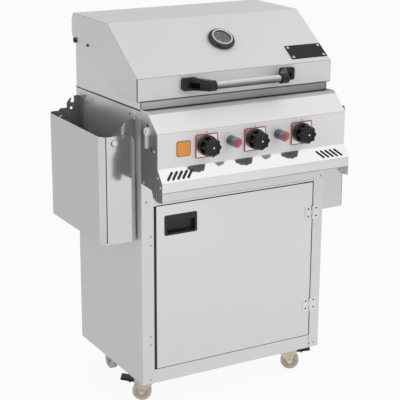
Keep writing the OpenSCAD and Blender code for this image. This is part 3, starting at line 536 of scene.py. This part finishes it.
# pan head with a cross recess; the dark cross in it is painted shade
def addScrew(bm, centre, normal, radius, spin=0.4):
    look = screwLook
    h = look["headHeight"] * radius / look["headRadius"]
    half = look["slotWidth"] * radius / look["headRadius"] / 2
    reach = radius * look["slotReach"]
    low, high = [h * share for share in look["slotHeights"]]
    m = facing(centre, normal, spin)
    head = [(radius * across, h * up) for across, up in look["head"]]
    addTurned(bm, [(0, -look["sunk"]), (radius, -look["sunk"])] + head, m, 20)
    for turn in (0, math.pi / 2):
        addSlab(bm, [(-reach, -half), (reach, -half), (reach, half), (-reach, half)], low, high,
                m @ Matrix.Rotation(turn, 4, "Z"), 1)


discLook = {"sunk": 0.2, "proud": 0.12}


# thin disc that lies on a face
def addDisc(bm, centre, normal, radius, steps):
    low, high = -discLook["sunk"], discLook["proud"]
    addTurned(bm, [(0, low), (radius, low), (radius, high), (0, high)], facing(centre, normal), steps)


# pale plate on the horn of each front shelf bracket: outline as (x, z)
bracketLip = {"outline": [(353.4, 916.6), (360.4, 910.7), (366.2, 900.8), (366.2, 881.5), (356.2, 881.5), (355.5, 902),
                          (354.4, 908), (353.2, 913)], "y": 32.4, "proud": 0.12, "sunk": 0.3}


def addBracketLips():
    look = bracketLip
    for side, word in sides:
        bm = bmesh.new()
        near = [bm.verts.new(at(side * x, look["y"] - look["proud"], z)) for x, z in look["outline"]]
        back = [bm.verts.new(at(side * x, look["y"] + look["sunk"], z)) for x, z in look["outline"]]
        bm.faces.new(near)
        bm.faces.new(back[::-1])
        for k in range(len(near)):
            n = (k + 1) % len(near)
            bm.faces.new([near[n], near[k], back[k], back[n]])
        addPiece(word + "BracketLip", bm, ["lipGrey"], "cabinet")


# screws, holes and a slot on the cabinet: (x, z) on the front, (y, z, radius) on the sides
cabinetScrews = {"front": [(-288.5, 574), (-288.5, 547), (-291, 258), (-291, 231), (-293, 116), (313, 680),
                           (303, 117), (-303, 681), (286, 117)],
                 "frontRadius": 2.3, "shadowRadius": 3.1, "shadowShift": (-0.7, -0.6),
                 "side": [(415, 931, 5.2), (42, 941, 5.2), (-84, 853, 3.6), (-104, 781, 3.4), (-120, 756, 3.4),
                          (-17, 747, 3.2), (-62, 926, 3.0), (-21, 952, 3.0)],
                 "holes": [(381, 925, 3.8), (69, 932, 3.8), (25, 928, 2.4), (-43, 921, 5.0), (-100, 734, 2.4),
                           (-102, 722, 2.4)],
                 "slot": {"y": -65.5, "z": 856, "towards": (-70, 850), "size": (16, 7.5, 3.7)}}


def addCabinetScrews():
    look = cabinetScrews
    bm = bmesh.new()
    for x, z in look["front"]:
        addScrew(bm, at(x, 0, z), front, look["frontRadius"])
    for y, z, radius in look["side"]:
        for side in (-1, 1):
            addScrew(bm, at(side * plane["cabinetSide"], y, z), (side, 0, 0), radius, 0.3 + y)
    addPiece("cabinetScrews", bm, ["zinc", "darkSeam"], "cabinet", 40)
    bm = bmesh.new()
    right, up = look["shadowShift"]
    for x, z in look["front"]:
        addDisc(bm, at(x + right, 0, z + up), front, look["shadowRadius"], 16)
    for y, z, radius in look["holes"]:
        for side in (-1, 1):
            addDisc(bm, at(side * plane["cabinetSide"], y, z), (side, 0, 0), radius, 20)
    slot = look["slot"]
    for side in (-1, 1):
        x = side * plane["cabinetSide"]
        slant = turnedTo(facing(at(x, slot["y"], slot["z"]), (side, 0, 0)), at(x, *slot["towards"]))
        addSlab(bm, roundedRect(*slot["size"]), -discLook["sunk"], discLook["proud"], slant)
    addPiece("sideHoleShadows", bm, ["darkSeam"], "cabinet")


# bright pin with a hanging tail, fixed to each side of the control panel
sideFitting = {"headY": -49.5, "headZ": 904, "headRadius": 12.5, "stand": 10, "chamfer": 1.5,
               "headGroove": (15, 2.6, 1.2), "tailY": -43, "tailTop": 900, "tailEnd": 854, "tailWidth": 11,
               "tailThick": 6, "tailCorner": 4, "tailGroove": (36, 1.6, 0.7), "grooveSunk": (0.6, 0.4),
               "grooveProud": 0.15}


def addSideFittings():
    f = sideFitting
    r, stand, thick = f["headRadius"], f["stand"], f["tailThick"]
    headSunk, tailSunk = f["grooveSunk"]
    for side, word in sides:
        bm = bmesh.new()
        x = side * plane["cabinetSide"]
        head = facing(at(x, f["headY"], f["headZ"]), (side, 0, 0))
        addTurned(bm, [(0, 0), (r, 0), (r, stand - f["chamfer"]), (r - f["chamfer"], stand), (0, stand)], head, 40)
        upright = turnedTo(head, at(x, f["headY"], f["headZ"] + r))
        # the dark grooves on the head and the tail are flat strips: painted shade of a slot
        addSlab(bm, roundedRect(*f["headGroove"]), stand - headSunk, stand + f["grooveProud"], upright, 1)
        middle = at(x, f["tailY"], (f["tailTop"] + f["tailEnd"]) / 2)
        tail = turnedTo(facing(middle, (side, 0, 0)), at(x, f["tailY"], f["tailTop"]))
        addSlab(bm, roundedRect(f["tailTop"] - f["tailEnd"], f["tailWidth"], f["tailCorner"]), 0, thick, tail)
        addSlab(bm, roundedRect(*f["tailGroove"]), thick - tailSunk, thick + f["grooveProud"], tail, 1)
        addPiece(word + "PanelFitting", bm, ["zinc", "bracketGrey"], "cabinet", 35)


badge = {"x": -236, "z": 856, "width": 45, "height": 45, "radius": 6, "rim": 1.6, "thick": 1.4, "rimShare": 0.7,
         "tileShare": 0.4, "bevel": 0.3}


# plain enamel tile in a dark rim: nothing is drawn on it
def addBadge():
    m = facing(at(badge["x"], plane["panelFace"], badge["z"]), front)
    bm = bmesh.new()
    outer = roundedRect(badge["width"], badge["height"], badge["radius"])
    inner = roundedRect(badge["width"] - 2 * badge["rim"], badge["height"] - 2 * badge["rim"],
                        badge["radius"] - badge["rim"])
    addSlab(bm, outer, 0, badge["thick"] * badge["rimShare"], m, 1)
    addSlab(bm, inner, badge["thick"] * badge["tileShare"], badge["thick"], m, 0)
    tile = addPiece("panelTile", bm, ["enamelOrange", "darkSeam"], "cabinet")
    bevel = tile.modifiers.new("soft", "BEVEL")
    bevel.width = badge["bevel"] * mm
    bevel.segments = 2


# plate behind each knob: its red line, the skirt of that line and the mark above
bezel = {"pitch": 162, "z": 857, "width": 72, "height": 68, "corners": (3, 2), "line": 2.3, "lift": 3, "proud": 0.25,
         "skirtGrow": (0.5, -0.1), "skirtCorners": (3.2, 2.9), "skirtFrom": 0.2, "skirtTo": 0.1,
         "dotUp": 38.5, "dotRight": 1.5, "dot": [(0, 0), (2.0, 0), (1.7, 0.3), (0, 0.35)]}


def bezelOutline(grow, corner):
    return roundedRect(bezel["width"] + grow, bezel["height"] + grow, corner)


# red outline of each knob plate, and the mark above it
def addBezelLines():
    for step, word in knobPlaces:
        bm = bmesh.new()
        m = onPanel(step * bezel["pitch"], bezel["z"], bezel["lift"])
        outer, inner = [bezelOutline(*pair) for pair in zip((0, -2 * bezel["line"]), bezel["corners"])]
        addFrameBand(bm, outer, inner, 0, bezel["proud"], m)
        outer, inner = [bezelOutline(*pair) for pair in zip(bezel["skirtGrow"], bezel["skirtCorners"])]
        addFrameBand(bm, outer, inner, -bezel["lift"] + bezel["skirtFrom"], bezel["skirtTo"], m)
        addPiece(word + "BezelLine", bm, ["bezelRed"], "cabinet")
        bm = bmesh.new()
        spot = onPanel(step * bezel["pitch"] + bezel["dotRight"], bezel["z"] + bezel["dotUp"])
        addTurned(bm, bezel["dot"], spot, 16)
        addPiece(word + "BezelMark", bm, ["darkSeam"], "cabinet")


knobTrim = {"z": 858, "front": 44, "capRadius": 2.8, "capHeight": 1.0, "capSunk": 1.4, "lineWidth": 1.2,
            "lineFrom": 12, "lineTo": 23, "lineSunk": 0.2, "lineProud": 0.25,
            "cap": [(1, 0.5), (0.8, 1), (0.35, 1), (0.25, 0.4), (0, 0.3)]}


# bright cap in the middle of each knob and its pointer line
def addKnobTrim():
    look = knobTrim
    r, width = look["capRadius"], look["lineWidth"]
    cap = [(r * across, look["capHeight"] * up) for across, up in look["cap"]]
    for step, word in knobPlaces:
        bm = bmesh.new()
        m = onPanel(step * bezel["pitch"], look["z"], look["front"])
        addTurned(bm, [(0, -look["capSunk"]), (r, -look["capSunk"])] + cap, m, 24)
        line = m @ Matrix.Translation((0, (look["lineFrom"] + look["lineTo"]) / 2 * mm, 0))
        addSlab(bm, roundedRect(width, look["lineTo"] - look["lineFrom"], width * 0.45), -look["lineSunk"],
                look["lineProud"], line, 1)
        addPiece(word + "KnobTrim", bm, ["bezel", "markGrey"], "knob_" + word, 35)


igniter = {"spacing": 81, "z": 862.5, "length": 40, "radius": 14.5, "bore": 8.6, "sleeve": (26.4, 38)}


# collar in front of each ignition barrel and a sleeve round its middle
def addIgniterTrim():
    r, end, bore = igniter["radius"], igniter["length"], igniter["bore"]
    low, high = igniter["sleeve"]
    for side, word in sides:
        bm = bmesh.new()
        m = onPanel(side * igniter["spacing"], igniter["z"])
        addTurned(bm, [(bore, end - 1), (r - 2.4, end - 1), (r - 2.2, end + 0.4), (r - 3, end + 1.1),
                       (bore + 0.6, end + 1.1), (bore, end + 0.6), (bore, end - 1)], m, 40)
        addTurned(bm, [(r + 0.05, low), (r + 0.45, low + 0.5), (r + 0.5, low + 6.6), (r + 0.45, high - 0.4),
                       (r + 0.05, high), (r - 0.4, high - 1), (r - 0.4, low + 0.6), (r + 0.05, low)], m, 40)
        addPiece(word + "BarrelCollar", bm, ["satinGrey"], "cabinet", 35)


lidSlope = {"y": -3, "z": 1045.5, "angle": math.atan2(131.5, 192)}
gauge = {"x": 0, "s": 123.36, "faceRadius": 26.4, "ringOuter": 32.6, "ringInner": 27.3, "ringHeight": 16.4,
         "dialLift": 9.0, "proud": 0.2, "sweep": 270, "ticks": 41, "tickIn": 1.6, "longEvery": 5,
         "longTick": (4.2, 0.6), "shortTick": (2.2, 0.35), "dialLine": (0.6, 1.1),
         "needleTurn": -50, "needleLift": 10.4, "needleThick": 0.35,
         "needle": [(-1.0, -5), (1.0, -5), (0.7, 10), (0.25, 20), (-0.25, 20), (-0.7, 10)],
         "needleHub": [(0, 0), (2.8, 0), (2.8, 1.0), (1.8, 1.5), (0, 1.6)],
         "numbers": (0, 100, 200, 300, 400), "numberSize": 4.4, "numberRadius": 16.5, "numberLift": 0.15,
         "numberThick": 0.08}


# the turn of one of so many marks that are spread over the dial
def dialTurn(k, count):
    return math.radians(-90 - (360 - gauge["sweep"]) / 2 - gauge["sweep"] * k / (count - 1))


def addGaugeNumber(m, k):
    name = "gaugeNumber" + str(gauge["numbers"][k])
    words = bpy.data.curves.new(name, "FONT")
    words.body = str(gauge["numbers"][k])
    words.size = gauge["numberSize"] * mm
    words.align_x = "CENTER"
    words.align_y = "CENTER"
    words.extrude = gauge["numberThick"] * mm
    words.resolution_u = 2
    text = addObject(name, words)
    a = dialTurn(k, len(gauge["numbers"]))
    out, lift = gauge["numberRadius"] * mm, (gauge["dialLift"] + gauge["numberLift"]) * mm
    text.matrix_world = m @ Matrix.Translation((math.cos(a) * out, math.sin(a) * out, lift))
    words.materials.append(finish["markWhite"])
    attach(text, "lid")


def addGaugeTrim():
    m = onSlope(lidSlope, gauge["x"], gauge["s"])
    bm = bmesh.new()
    top, o, i = gauge["ringHeight"], gauge["ringOuter"], gauge["ringInner"]
    addTurned(bm, [(i, top - 3), (i + 0.5, top), (i + 1.5, top + 0.9), (o - 1.4, top + 0.9), (o - 0.3, top),
                   (o, top - 1.2), (i, top - 3)], m, 64)
    addPiece("gaugeRing", bm, ["chrome"], "lid", 35)
    bm = bmesh.new()
    face, lift, proud = gauge["faceRadius"], gauge["dialLift"], gauge["proud"]
    for k in range(gauge["ticks"]):
        long, width = gauge["longTick"] if k % gauge["longEvery"] == 0 else gauge["shortTick"]
        turned = m @ Matrix.Rotation(dialTurn(k, gauge["ticks"]), 4, "Z")
        spot = turned @ Matrix.Translation(((face - gauge["tickIn"] - long / 2) * mm, 0, lift * mm))
        addSlab(bm, roundedRect(long, width, 0.1, 1), 0, proud, spot)
    outer, inner = [circle(face - inward) for inward in gauge["dialLine"]]
    addFrameBand(bm, outer, inner, lift, lift + proud, m)
    addPiece("gaugeTicks", bm, ["markWhite"], "lid")
    bm = bmesh.new()
    needle = m @ Matrix.Rotation(math.radians(gauge["needleTurn"]), 4, "Z")
    needle = needle @ Matrix.Translation((0, 0, gauge["needleLift"] * mm))
    addSlab(bm, gauge["needle"], 0, gauge["needleThick"], needle)
    addTurned(bm, gauge["needleHub"], needle, 24)
    addPiece("gaugeNeedle", bm, ["bezelRed"], "lid", 35)
    for k in range(len(gauge["numbers"])):
        addGaugeNumber(m, k)


plateTrim = {"x": 199, "s": 17, "width": 128, "height": 57, "thick": 1.5, "screwIn": (9, 8), "screwRadius": 4.6,
             "rimIn": 1.2, "rim": 2.2, "rimProud": 0.5}


# screws and raised rim of the plain black plate
def addPlateTrim():
    p = plateTrim
    across, up = p["screwIn"]
    bm = bmesh.new()
    for x in (across, p["width"] - across):
        for s in (up, p["height"] - up):
            m = onSlope(lidSlope, p["x"] + x, p["s"] + s, p["thick"])
            addScrew(bm, m.translation, m.to_3x3() @ Vector((0, 0, 1)), p["screwRadius"], 0.5 + x)
    addPiece("plateScrews", bm, ["chrome", "darkSeam"], "lid", 40)
    bm = bmesh.new()
    m = onSlope(lidSlope, p["x"] + p["width"] / 2, p["s"] + p["height"] / 2, p["thick"])
    outer = roundedRect(p["width"] - p["rimIn"], p["height"] - p["rimIn"], 3)
    inner = roundedRect(p["width"] - 2 * p["rim"], p["height"] - 2 * p["rim"], 2)
    addFrameBand(bm, outer, inner, 0, p["rimProud"], m)
    addPiece("plateRim", bm, ["plateBlack"], "lid")


roll = {"y": -129, "z": 769, "angle": math.atan2(35, 28), "length": math.hypot(35, 28)}
slots = {"count": 5, "first": 223, "step": 16.2, "lean": 42, "radius": 2.8, "long": 32.6, "down": 2, "edge": 0.9,
         "proud": 0.12, "shadePlateX": 256, "shadePlate": (112, 38, 3), "shadePlateDepth": 3.2, "shadePlateThick": 0.8}


# painted shade: a dark plate under the slanted slots of the roll stands for their shaded inside, and a dark rim round
# each slot
def addSlotLining():
    r, long, edge = slots["radius"], slots["long"], slots["edge"]
    outer = roundedRect(2 * (r + edge), long + 2 * edge, r + edge - 0.05)
    inner = roundedRect(2 * r, long, r - 0.05)
    for side, word in sides:
        bm = bmesh.new()
        m = onSlope(roll, side * slots["shadePlateX"], roll["length"] / 2, -slots["shadePlateDepth"])
        addSlab(bm, roundedRect(*slots["shadePlate"]), 0, slots["shadePlateThick"], m)
        addPiece(word + "SlotShadePlate", bm, ["darkSeam"], "cabinet")
        bm = bmesh.new()
        for k in range(slots["count"]):
            m = onSlope(roll, side * (slots["first"] + k * slots["step"]), roll["length"] / 2)
            m = m @ Matrix.Translation((0, -slots["down"] * mm, 0))
            m = m @ Matrix.Rotation(math.radians(side * slots["lean"]), 4, "Z")
            addFrameBand(bm, outer, inner, 0, slots["proud"], m)
        addPiece(word + "SlotRimShade", bm, ["darkSeam"], "cabinet")


hinges = {"x": 282, "y": -1.2, "lows": (233, 543), "leaf": 42, "screwsAt": (0.2, 0.8), "doorMid": -15.5,
          "postMid": 14.5, "screwRadius": 2.9}


def addHingeScrews():
    for middle, body in ((hinges["doorMid"], "door"), (hinges["postMid"], "cabinet")):
        bm = bmesh.new()
        for low in hinges["lows"]:
            for share in hinges["screwsAt"]:
                spot = at(hinges["x"] + middle, hinges["y"], low + share * hinges["leaf"])
                addScrew(bm, spot, front, hinges["screwRadius"], 0.3 + share + low)
        addPiece("hingeScrews" + body.capitalize(), bm, ["darkChrome", "darkSeam"], body,
                 40)


casters = {"kingpin": 248, "front": 97, "rear": 349, "trail": 24, "axle": 30,
           "turns": {"front_left": 147, "front_right": -33, "rear_left": 90, "rear_right": 90},
           "hub": [(4.3, 9.0), (17.6, 9.0), (17.6, 9.6), (16.2, 10.3), (13, 10.2), (11, 9.6), (8.4, 10.4), (6, 12.4),
                   (4.3, 12.4), (4.3, 9.0)],
           "nut": [(0, 15.2), (6.2, 15.2), (6.2, 18.6), (5.4, 19.2), (3.2, 19.2), (3.2, 20.6), (0, 21.2)]}


def casterFrame(word):
    side = -1 if word.endswith("left") else 1
    y = casters["front"] if word.startswith("front") else casters["rear"]
    turn = Matrix.Rotation(math.radians(casters["turns"][word]), 4, "Z")
    return Matrix.Translation(at(side * casters["kingpin"], y, 0)) @ turn


# hub disc on both sides of each wheel, and the nuts of its axle on the fork
def addCasterTrim():
    for word in casters["turns"]:
        m = casterFrame(word) @ Matrix.Translation((casters["trail"] * mm, 0, casters["axle"] * mm))
        hub, nuts = bmesh.new(), bmesh.new()
        for side in (-1, 1):
            out = m @ Matrix.Rotation(-side * math.pi / 2, 4, "X")
            addTurned(hub, casters["hub"], out, 36)
            addTurned(nuts, casters["nut"], out, 6)
        addPiece("hubDiscs_" + word, hub, ["hubTan"], "wheel_" + word, 35)
        addPiece("axleNuts_" + word, nuts, ["chrome"], "fork_" + word)


# nuts and domed heads of the shelf pivots, and a painted shadow: the dark ring offset behind each head
bracketNuts = {"x": 388, "z": 860, "heads": (26.7, 423.3), "fronts": (36.2, 413.8), "radius": 7.5, "thick": 5,
               "head": [(8.5, -4.0), (8.9, -4.0), (8.9, -0.6), (8.0, 0.7), (6.0, 1.5), (3, 1.9), (0, 2.0)],
               "ring": [(7.2, 0.02), (9.9, 0.02), (9.9, 0.14), (7.2, 0.14)], "shadowRingShift": (1.5, -0.4),
               "shadowRingBehind": 4.3}


def addBracketNuts():
    look = bracketNuts
    r, h = look["radius"], look["thick"]
    right, up = look["shadowRingShift"]
    for side, word in sides:
        bm = bmesh.new()
        for y, inward in zip(look["fronts"], (1, -1)):
            m = facing(at(side * look["x"], y, look["z"]), (0, inward, 0))
            addTurned(bm, [(0, -0.6), (r, -0.6), (r, h - 1), (r - 1, h), (4.4, h), (4.4, h + 2), (0, h + 2.4)], m, 6)
        addPiece(word + "BracketNuts", bm, ["chrome"], "cabinet")
        bm = bmesh.new()
        for y, outward in zip(look["heads"], (-1, 1)):
            addTurned(bm, look["head"], facing(at(side * look["x"], y, look["z"]), (0, outward, 0)), 32)
            # painted shadow: a dark ring offset outwards and down, behind the head
            spot = at(side * (look["x"] + right), y - outward * look["shadowRingBehind"], look["z"] + up)
            addTurned(bm, look["ring"], facing(spot, (0, outward, 0)), 32, 1)
        addPiece(word + "PivotHeads", bm, ["zinc", "darkSeam"], "cabinet", 50)


# line along a crease, seam, gap or edge: a thin ribbon that stands a little proud of the sheet. Many of these
# lines are painted shade and shadow: along creases and sheet edges, under the lid and the lip, below the hood
# front and round the door
def addLine(name, points, width, faces=front, body="cabinet", look="darkSeam", proud=0.12):
    points = [at(*point) for point in points]
    bm = bmesh.new()
    normal = Vector(faces).normalized()
    left, right = [], []
    for k, point in enumerate(points):
        ahead = points[min(k + 1, len(points) - 1)] - points[max(k - 1, 0)]
        side = ahead.cross(normal).normalized() * width * mm / 2
        lift = normal * proud * mm
        left.append([bm.verts.new(point + side), bm.verts.new(point + side + lift)])
        right.append([bm.verts.new(point - side), bm.verts.new(point - side + lift)])
    for k in range(len(points) - 1):
        bm.faces.new([left[k][1], left[k + 1][1], right[k + 1][1], right[k][1]])
        bm.faces.new([left[k][0], left[k + 1][0], left[k + 1][1], left[k][1]])
        bm.faces.new([right[k][1], right[k + 1][1], right[k + 1][0], right[k][0]])
        bm.faces.new([right[k][0], right[k + 1][0], left[k + 1][0], left[k][0]])
    for k in (0, -1):
        bm.faces.new([left[k][0], left[k][1], right[k][1], right[k][0]])
    addPiece(name, bm, [look], body)


lines = {
    # painted shade: darker lines along the creases of the lid, the panel and the roll
    "lidCrease": {"points": [(-329, -3.4, 1045.4), (329, -3.4, 1045.4)], "width": 1.8, "faces": (0, -0.87, 0.5),
                  "body": "lid", "look": "crease", "proud": 0.25},
    # painted shade: a dark line along the bottom edge of the lid
    "lidHem": {"points": [(-329, -3.0, 979.8), (329, -3.0, 979.8)], "width": 1.8, "body": "lid", "proud": 0.25},
    "panelCrease": {"points": [(-318.6, -101.2, 905), (318.6, -101.2, 905)], "width": 0.8,
                    "faces": (0, -0.9, 0.45), "look": "crease", "proud": 0.2},
    "rollCrease": {"points": [(-318.6, -129.1, 769), (318.6, -129.1, 769)], "width": 0.7,
                   "faces": (0, -0.9, 0.4), "look": "crease", "proud": 0.15},
    # painted shade: a grey line along the bottom edge of the lip
    "lipHem": {"points": [(-318.6, -129, 740.2), (318.6, -129, 740.2)], "width": 2.0, "look": "crease",
               "proud": 0.2},
    "lipShadow": {"points": [(-318.6, -129, 740.9), (228, -129, 740.9)], "width": 2.2, "look": "lipGrey",
                  "proud": 0.28},
    # painted shade: a dark line in the joint below the hood front
    "bandGasket": {"points": [(-317, 2.4, 953.2), (317, 2.4, 953.2)], "width": 3.6, "proud": 1.6},
    "doorSeal": {"points": [(-275.6, 2.2, 150), (-275.6, 2.2, 660)], "width": 8.2, "proud": 0.8},
}
flangeLine = {"x": 415.4, "y": 31, "heights": (562, 879), "width": {"left": 3.0, "right": 1.0}}
for side, word in sides:
    edge, wall, end = [side * plane[key] for key in ("lidSide", "cabinetSide", "panelEnd")]
    lines[word + "LidCornerLine"] = {"points": [(edge, -0.4, 979), (edge, -0.4, 1045)], "width": 6.4,
                                     "faces": (side, 0, 0), "body": "lid", "look": "gap"}
    lines[word + "LidEdgeLine"] = {"points": [(edge, -2.0, 1045.5), (edge, 189.5, 1176.2), (edge, 434, 1176.4)],
                                   "width": 1.2, "faces": (side, 0, 0), "body": "lid", "look": "crease"}
    lines[word + "HoodSeam"] = {"points": [(wall, 1, 953), (wall, 445, 944.5)], "width": 3.4, "faces": (side, 0, 0)}
    lines[word + "BandEnd"] = {"points": [(end, 0.2, 950), (end, 0.2, 978)], "width": 2.6, "look": "gap"}
    lines[word + "FlangeLine"] = {"points": [(side * flangeLine["x"], flangeLine["y"], z)
                                             for z in flangeLine["heights"]],
                                  "width": flangeLine["width"][word], "body": "shelf_" + word, "look": "gap"}
lines.update({
    "sillSeam": {"points": [(282.5, 0, 102.5), (282.5, 0, 145.5)], "width": 1.0},
    # the door's top and side lines are its real gap widened with painted shade, and its top corner line is painted
    # shade
    "doorTopEdge": {"points": [(-271, 0, 664.7), (284, 0, 664.7)], "width": 1.4, "look": "gap"},
    "doorTopCorner": {"points": [(236, 0, 664.9), (284, 0, 664.9)], "width": 1.8, "proud": 0.16},
    "doorSideEdge": {"points": [(283.7, 0, 148), (283.7, 0, 664)], "width": 1.4, "look": "gap"},
    "headerCorner": {"points": [(299, 0, 693), (294, 0, 677)], "width": 0.6, "look": "crease"},
    "headerSeam": {"points": [(-279, 0, 671.5), (283, 0, 671.5)], "width": 0.6},
})

addBracketLips()
addCabinetScrews()
addSideFittings()
addBadge()
addBezelLines()
addKnobTrim()
addIgniterTrim()
addGaugeTrim()
addPlateTrim()
addSlotLining()
addHingeScrews()
addCasterTrim()
addBracketNuts()
for name, line in lines.items():
    addLine(name, **line)
print("trim added")

# floor, sky and lamps: a pale studio whose tone changes a little round the horizon
studio = {"floorSize": 24.0, "floorAlbedo": 0.84, "floorSpeckle": 0.01, "floorGlow": 0.92, "floorMirror": 0.92,
          "nearLeft": 0.60, "nearFront": 0.84, "nearTurn": (-0.30, -0.06), "nearReach": (1.4, 2.6),
          "skyLight": 0.80, "overhead": 0.93, "overheadSlope": -0.40, "overheadFrom": (0.1, 0.55)}
lamps = {"keyLamp": {"spot": (1.2, -2.6, 3.2), "aim": (0, 0, 0.6), "size": (2.4, 1.6), "power": 34},
         "fillLamp": {"spot": (-3.0, -1.2, 1.8), "aim": (0, 0, 0.5), "size": (1.6, 1.6), "power": 12}}
# compass of the tones that the steel mirrors: share of a turn from the left, tone
horizonTones = [(0.0, 0.84), (0.07, 0.72), (0.115, 0.60), (0.135, 0.16), (0.185, 0.12), (0.21, 0.62), (0.24, 0.84),
                (0.30, 0.90), (0.325, 0.88), (0.348, 0.79), (0.39, 0.76), (0.45, 0.80), (0.60, 0.80), (0.70, 0.74),
                (0.80, 0.62), (0.845, 0.61), (0.875, 0.55), (0.90, 0.56), (0.95, 0.78), (1.0, 0.84)]


def compass(tree, vector):
    turn = place(tree, "ShaderNodeTexGradient", gradient_type="RADIAL")
    tree.links.new(vector, turn.inputs["Vector"])
    return colourRamp(tree, turn.outputs["Fac"], horizonTones)


# a grey whose tone another node gives
def greyOf(tree, tone):
    colour = place(tree, "ShaderNodeCombineColor")
    for channel in ("Red", "Green", "Blue"):
        tree.links.new(tone, colour.inputs[channel])
    return colour.outputs[0]


# true for the rays that mirror or pass through a piece
def mirrorRay(tree, path):
    return mathNode(tree, "MAXIMUM", path.outputs["Is Glossy Ray"], path.outputs["Is Transmission Ray"])


def addFloor():
    mesh = bpy.data.meshes.new("studioFloor")
    half = studio["floorSize"] / 2
    mesh.from_pydata([(-half, -half, 0), (half, -half, 0), (half, half, 0), (-half, half, 0)], [], [(0, 1, 2, 3)])
    floor = addObject("studioFloor", mesh)
    mat, tree, shader = startMaterial("studioFloor")
    speck = noise(tree, objectCoords(tree), 40, 3, 0.5)
    albedo, speckle = studio["floorAlbedo"], studio["floorSpeckle"]
    shader.inputs["Specular IOR Level"].default_value = 0.0
    shader.inputs["Roughness"].default_value = 0.9
    tree.links.new(twoTone(tree, speck, (albedo - speckle, albedo + speckle)), shader.inputs["Base Color"])
    where = axes(tree, objectCoords(tree))
    corner = mathNode(tree, "SUBTRACT", where["X"], where["Y"])
    nearTone = softStep(tree, corner, *studio["nearTurn"], studio["nearLeft"], studio["nearFront"])
    reach = place(tree, "ShaderNodeVectorMath", operation="LENGTH")
    tree.links.new(objectCoords(tree), reach.inputs[0])
    far = softStep(tree, reach.outputs["Value"], *studio["nearReach"], 0.0, 1.0)
    tones = mixColours(tree, far, greyOf(tree, nearTone), compass(tree, objectCoords(tree)))
    mirrored = place(tree, "ShaderNodeEmission", Strength=1.0)
    tree.links.new(tones, mirrored.inputs["Color"])
    seen = place(tree, "ShaderNodeEmission", Strength=1.0)
    path = place(tree, "ShaderNodeLightPath")
    seenShare = mathNode(tree, "MULTIPLY", path.outputs["Is Camera Ray"], studio["floorGlow"])
    glow = mixShaders(tree, seenShare, shader.outputs[0], seen.outputs[0])
    mirrorShare = mathNode(tree, "MULTIPLY", mirrorRay(tree, path), studio["floorMirror"])
    surface = mixShaders(tree, mirrorShare, glow, mirrored.outputs[0])
    tree.links.new(surface, tree.nodes["Material Output"].inputs["Surface"])
    floor.data.materials.append(mat)


def addSky():
    world = bpy.data.worlds.new("studioSky")
    bpy.context.scene.world = world
    world.use_nodes = True
    tree = world.node_tree
    tree.nodes.clear()
    out = tree.nodes.new("ShaderNodeOutputWorld")
    path = place(tree, "ShaderNodeLightPath")
    diffuse = place(tree, "ShaderNodeBackground", Strength=studio["skyLight"])
    seen = place(tree, "ShaderNodeBackground", Strength=1.0)
    mirrored = place(tree, "ShaderNodeBackground", Strength=1.0)
    coords = place(tree, "ShaderNodeTexCoord").outputs["Generated"]
    where = axes(tree, coords)
    slope = mathNode(tree, "MULTIPLY", where["Y"], studio["overheadSlope"])
    overhead = greyOf(tree, mathNode(tree, "ADD", slope, studio["overhead"]))
    upward = softStep(tree, where["Z"], *studio["overheadFrom"], 0.0, 1.0)
    tree.links.new(mixColours(tree, upward, compass(tree, coords), overhead), mirrored.inputs["Color"])
    unseen = mixShaders(tree, mirrorRay(tree, path), diffuse.outputs[0], mirrored.outputs[0])
    whole = mixShaders(tree, path.outputs["Is Camera Ray"], unseen, seen.outputs[0])
    tree.links.new(whole, out.inputs["Surface"])


def addLamp(name, spot, aim, size, power):
    data = bpy.data.lights.new(name, "AREA")
    data.shape = "RECTANGLE"
    data.size, data.size_y = size
    data.energy = power
    lamp = addObject(name, data)
    lamp.location = spot
    lamp.rotation_euler = (Vector(aim) - Vector(spot)).to_track_quat("-Z", "Y").to_euler()
    lamp.visible_glossy = False


addFloor()
addSky()
for name, lamp in lamps.items():
    addLamp(name, **lamp)
print("studio ready")

view = bpy.context.scene.view_settings
view.view_transform = "Standard"
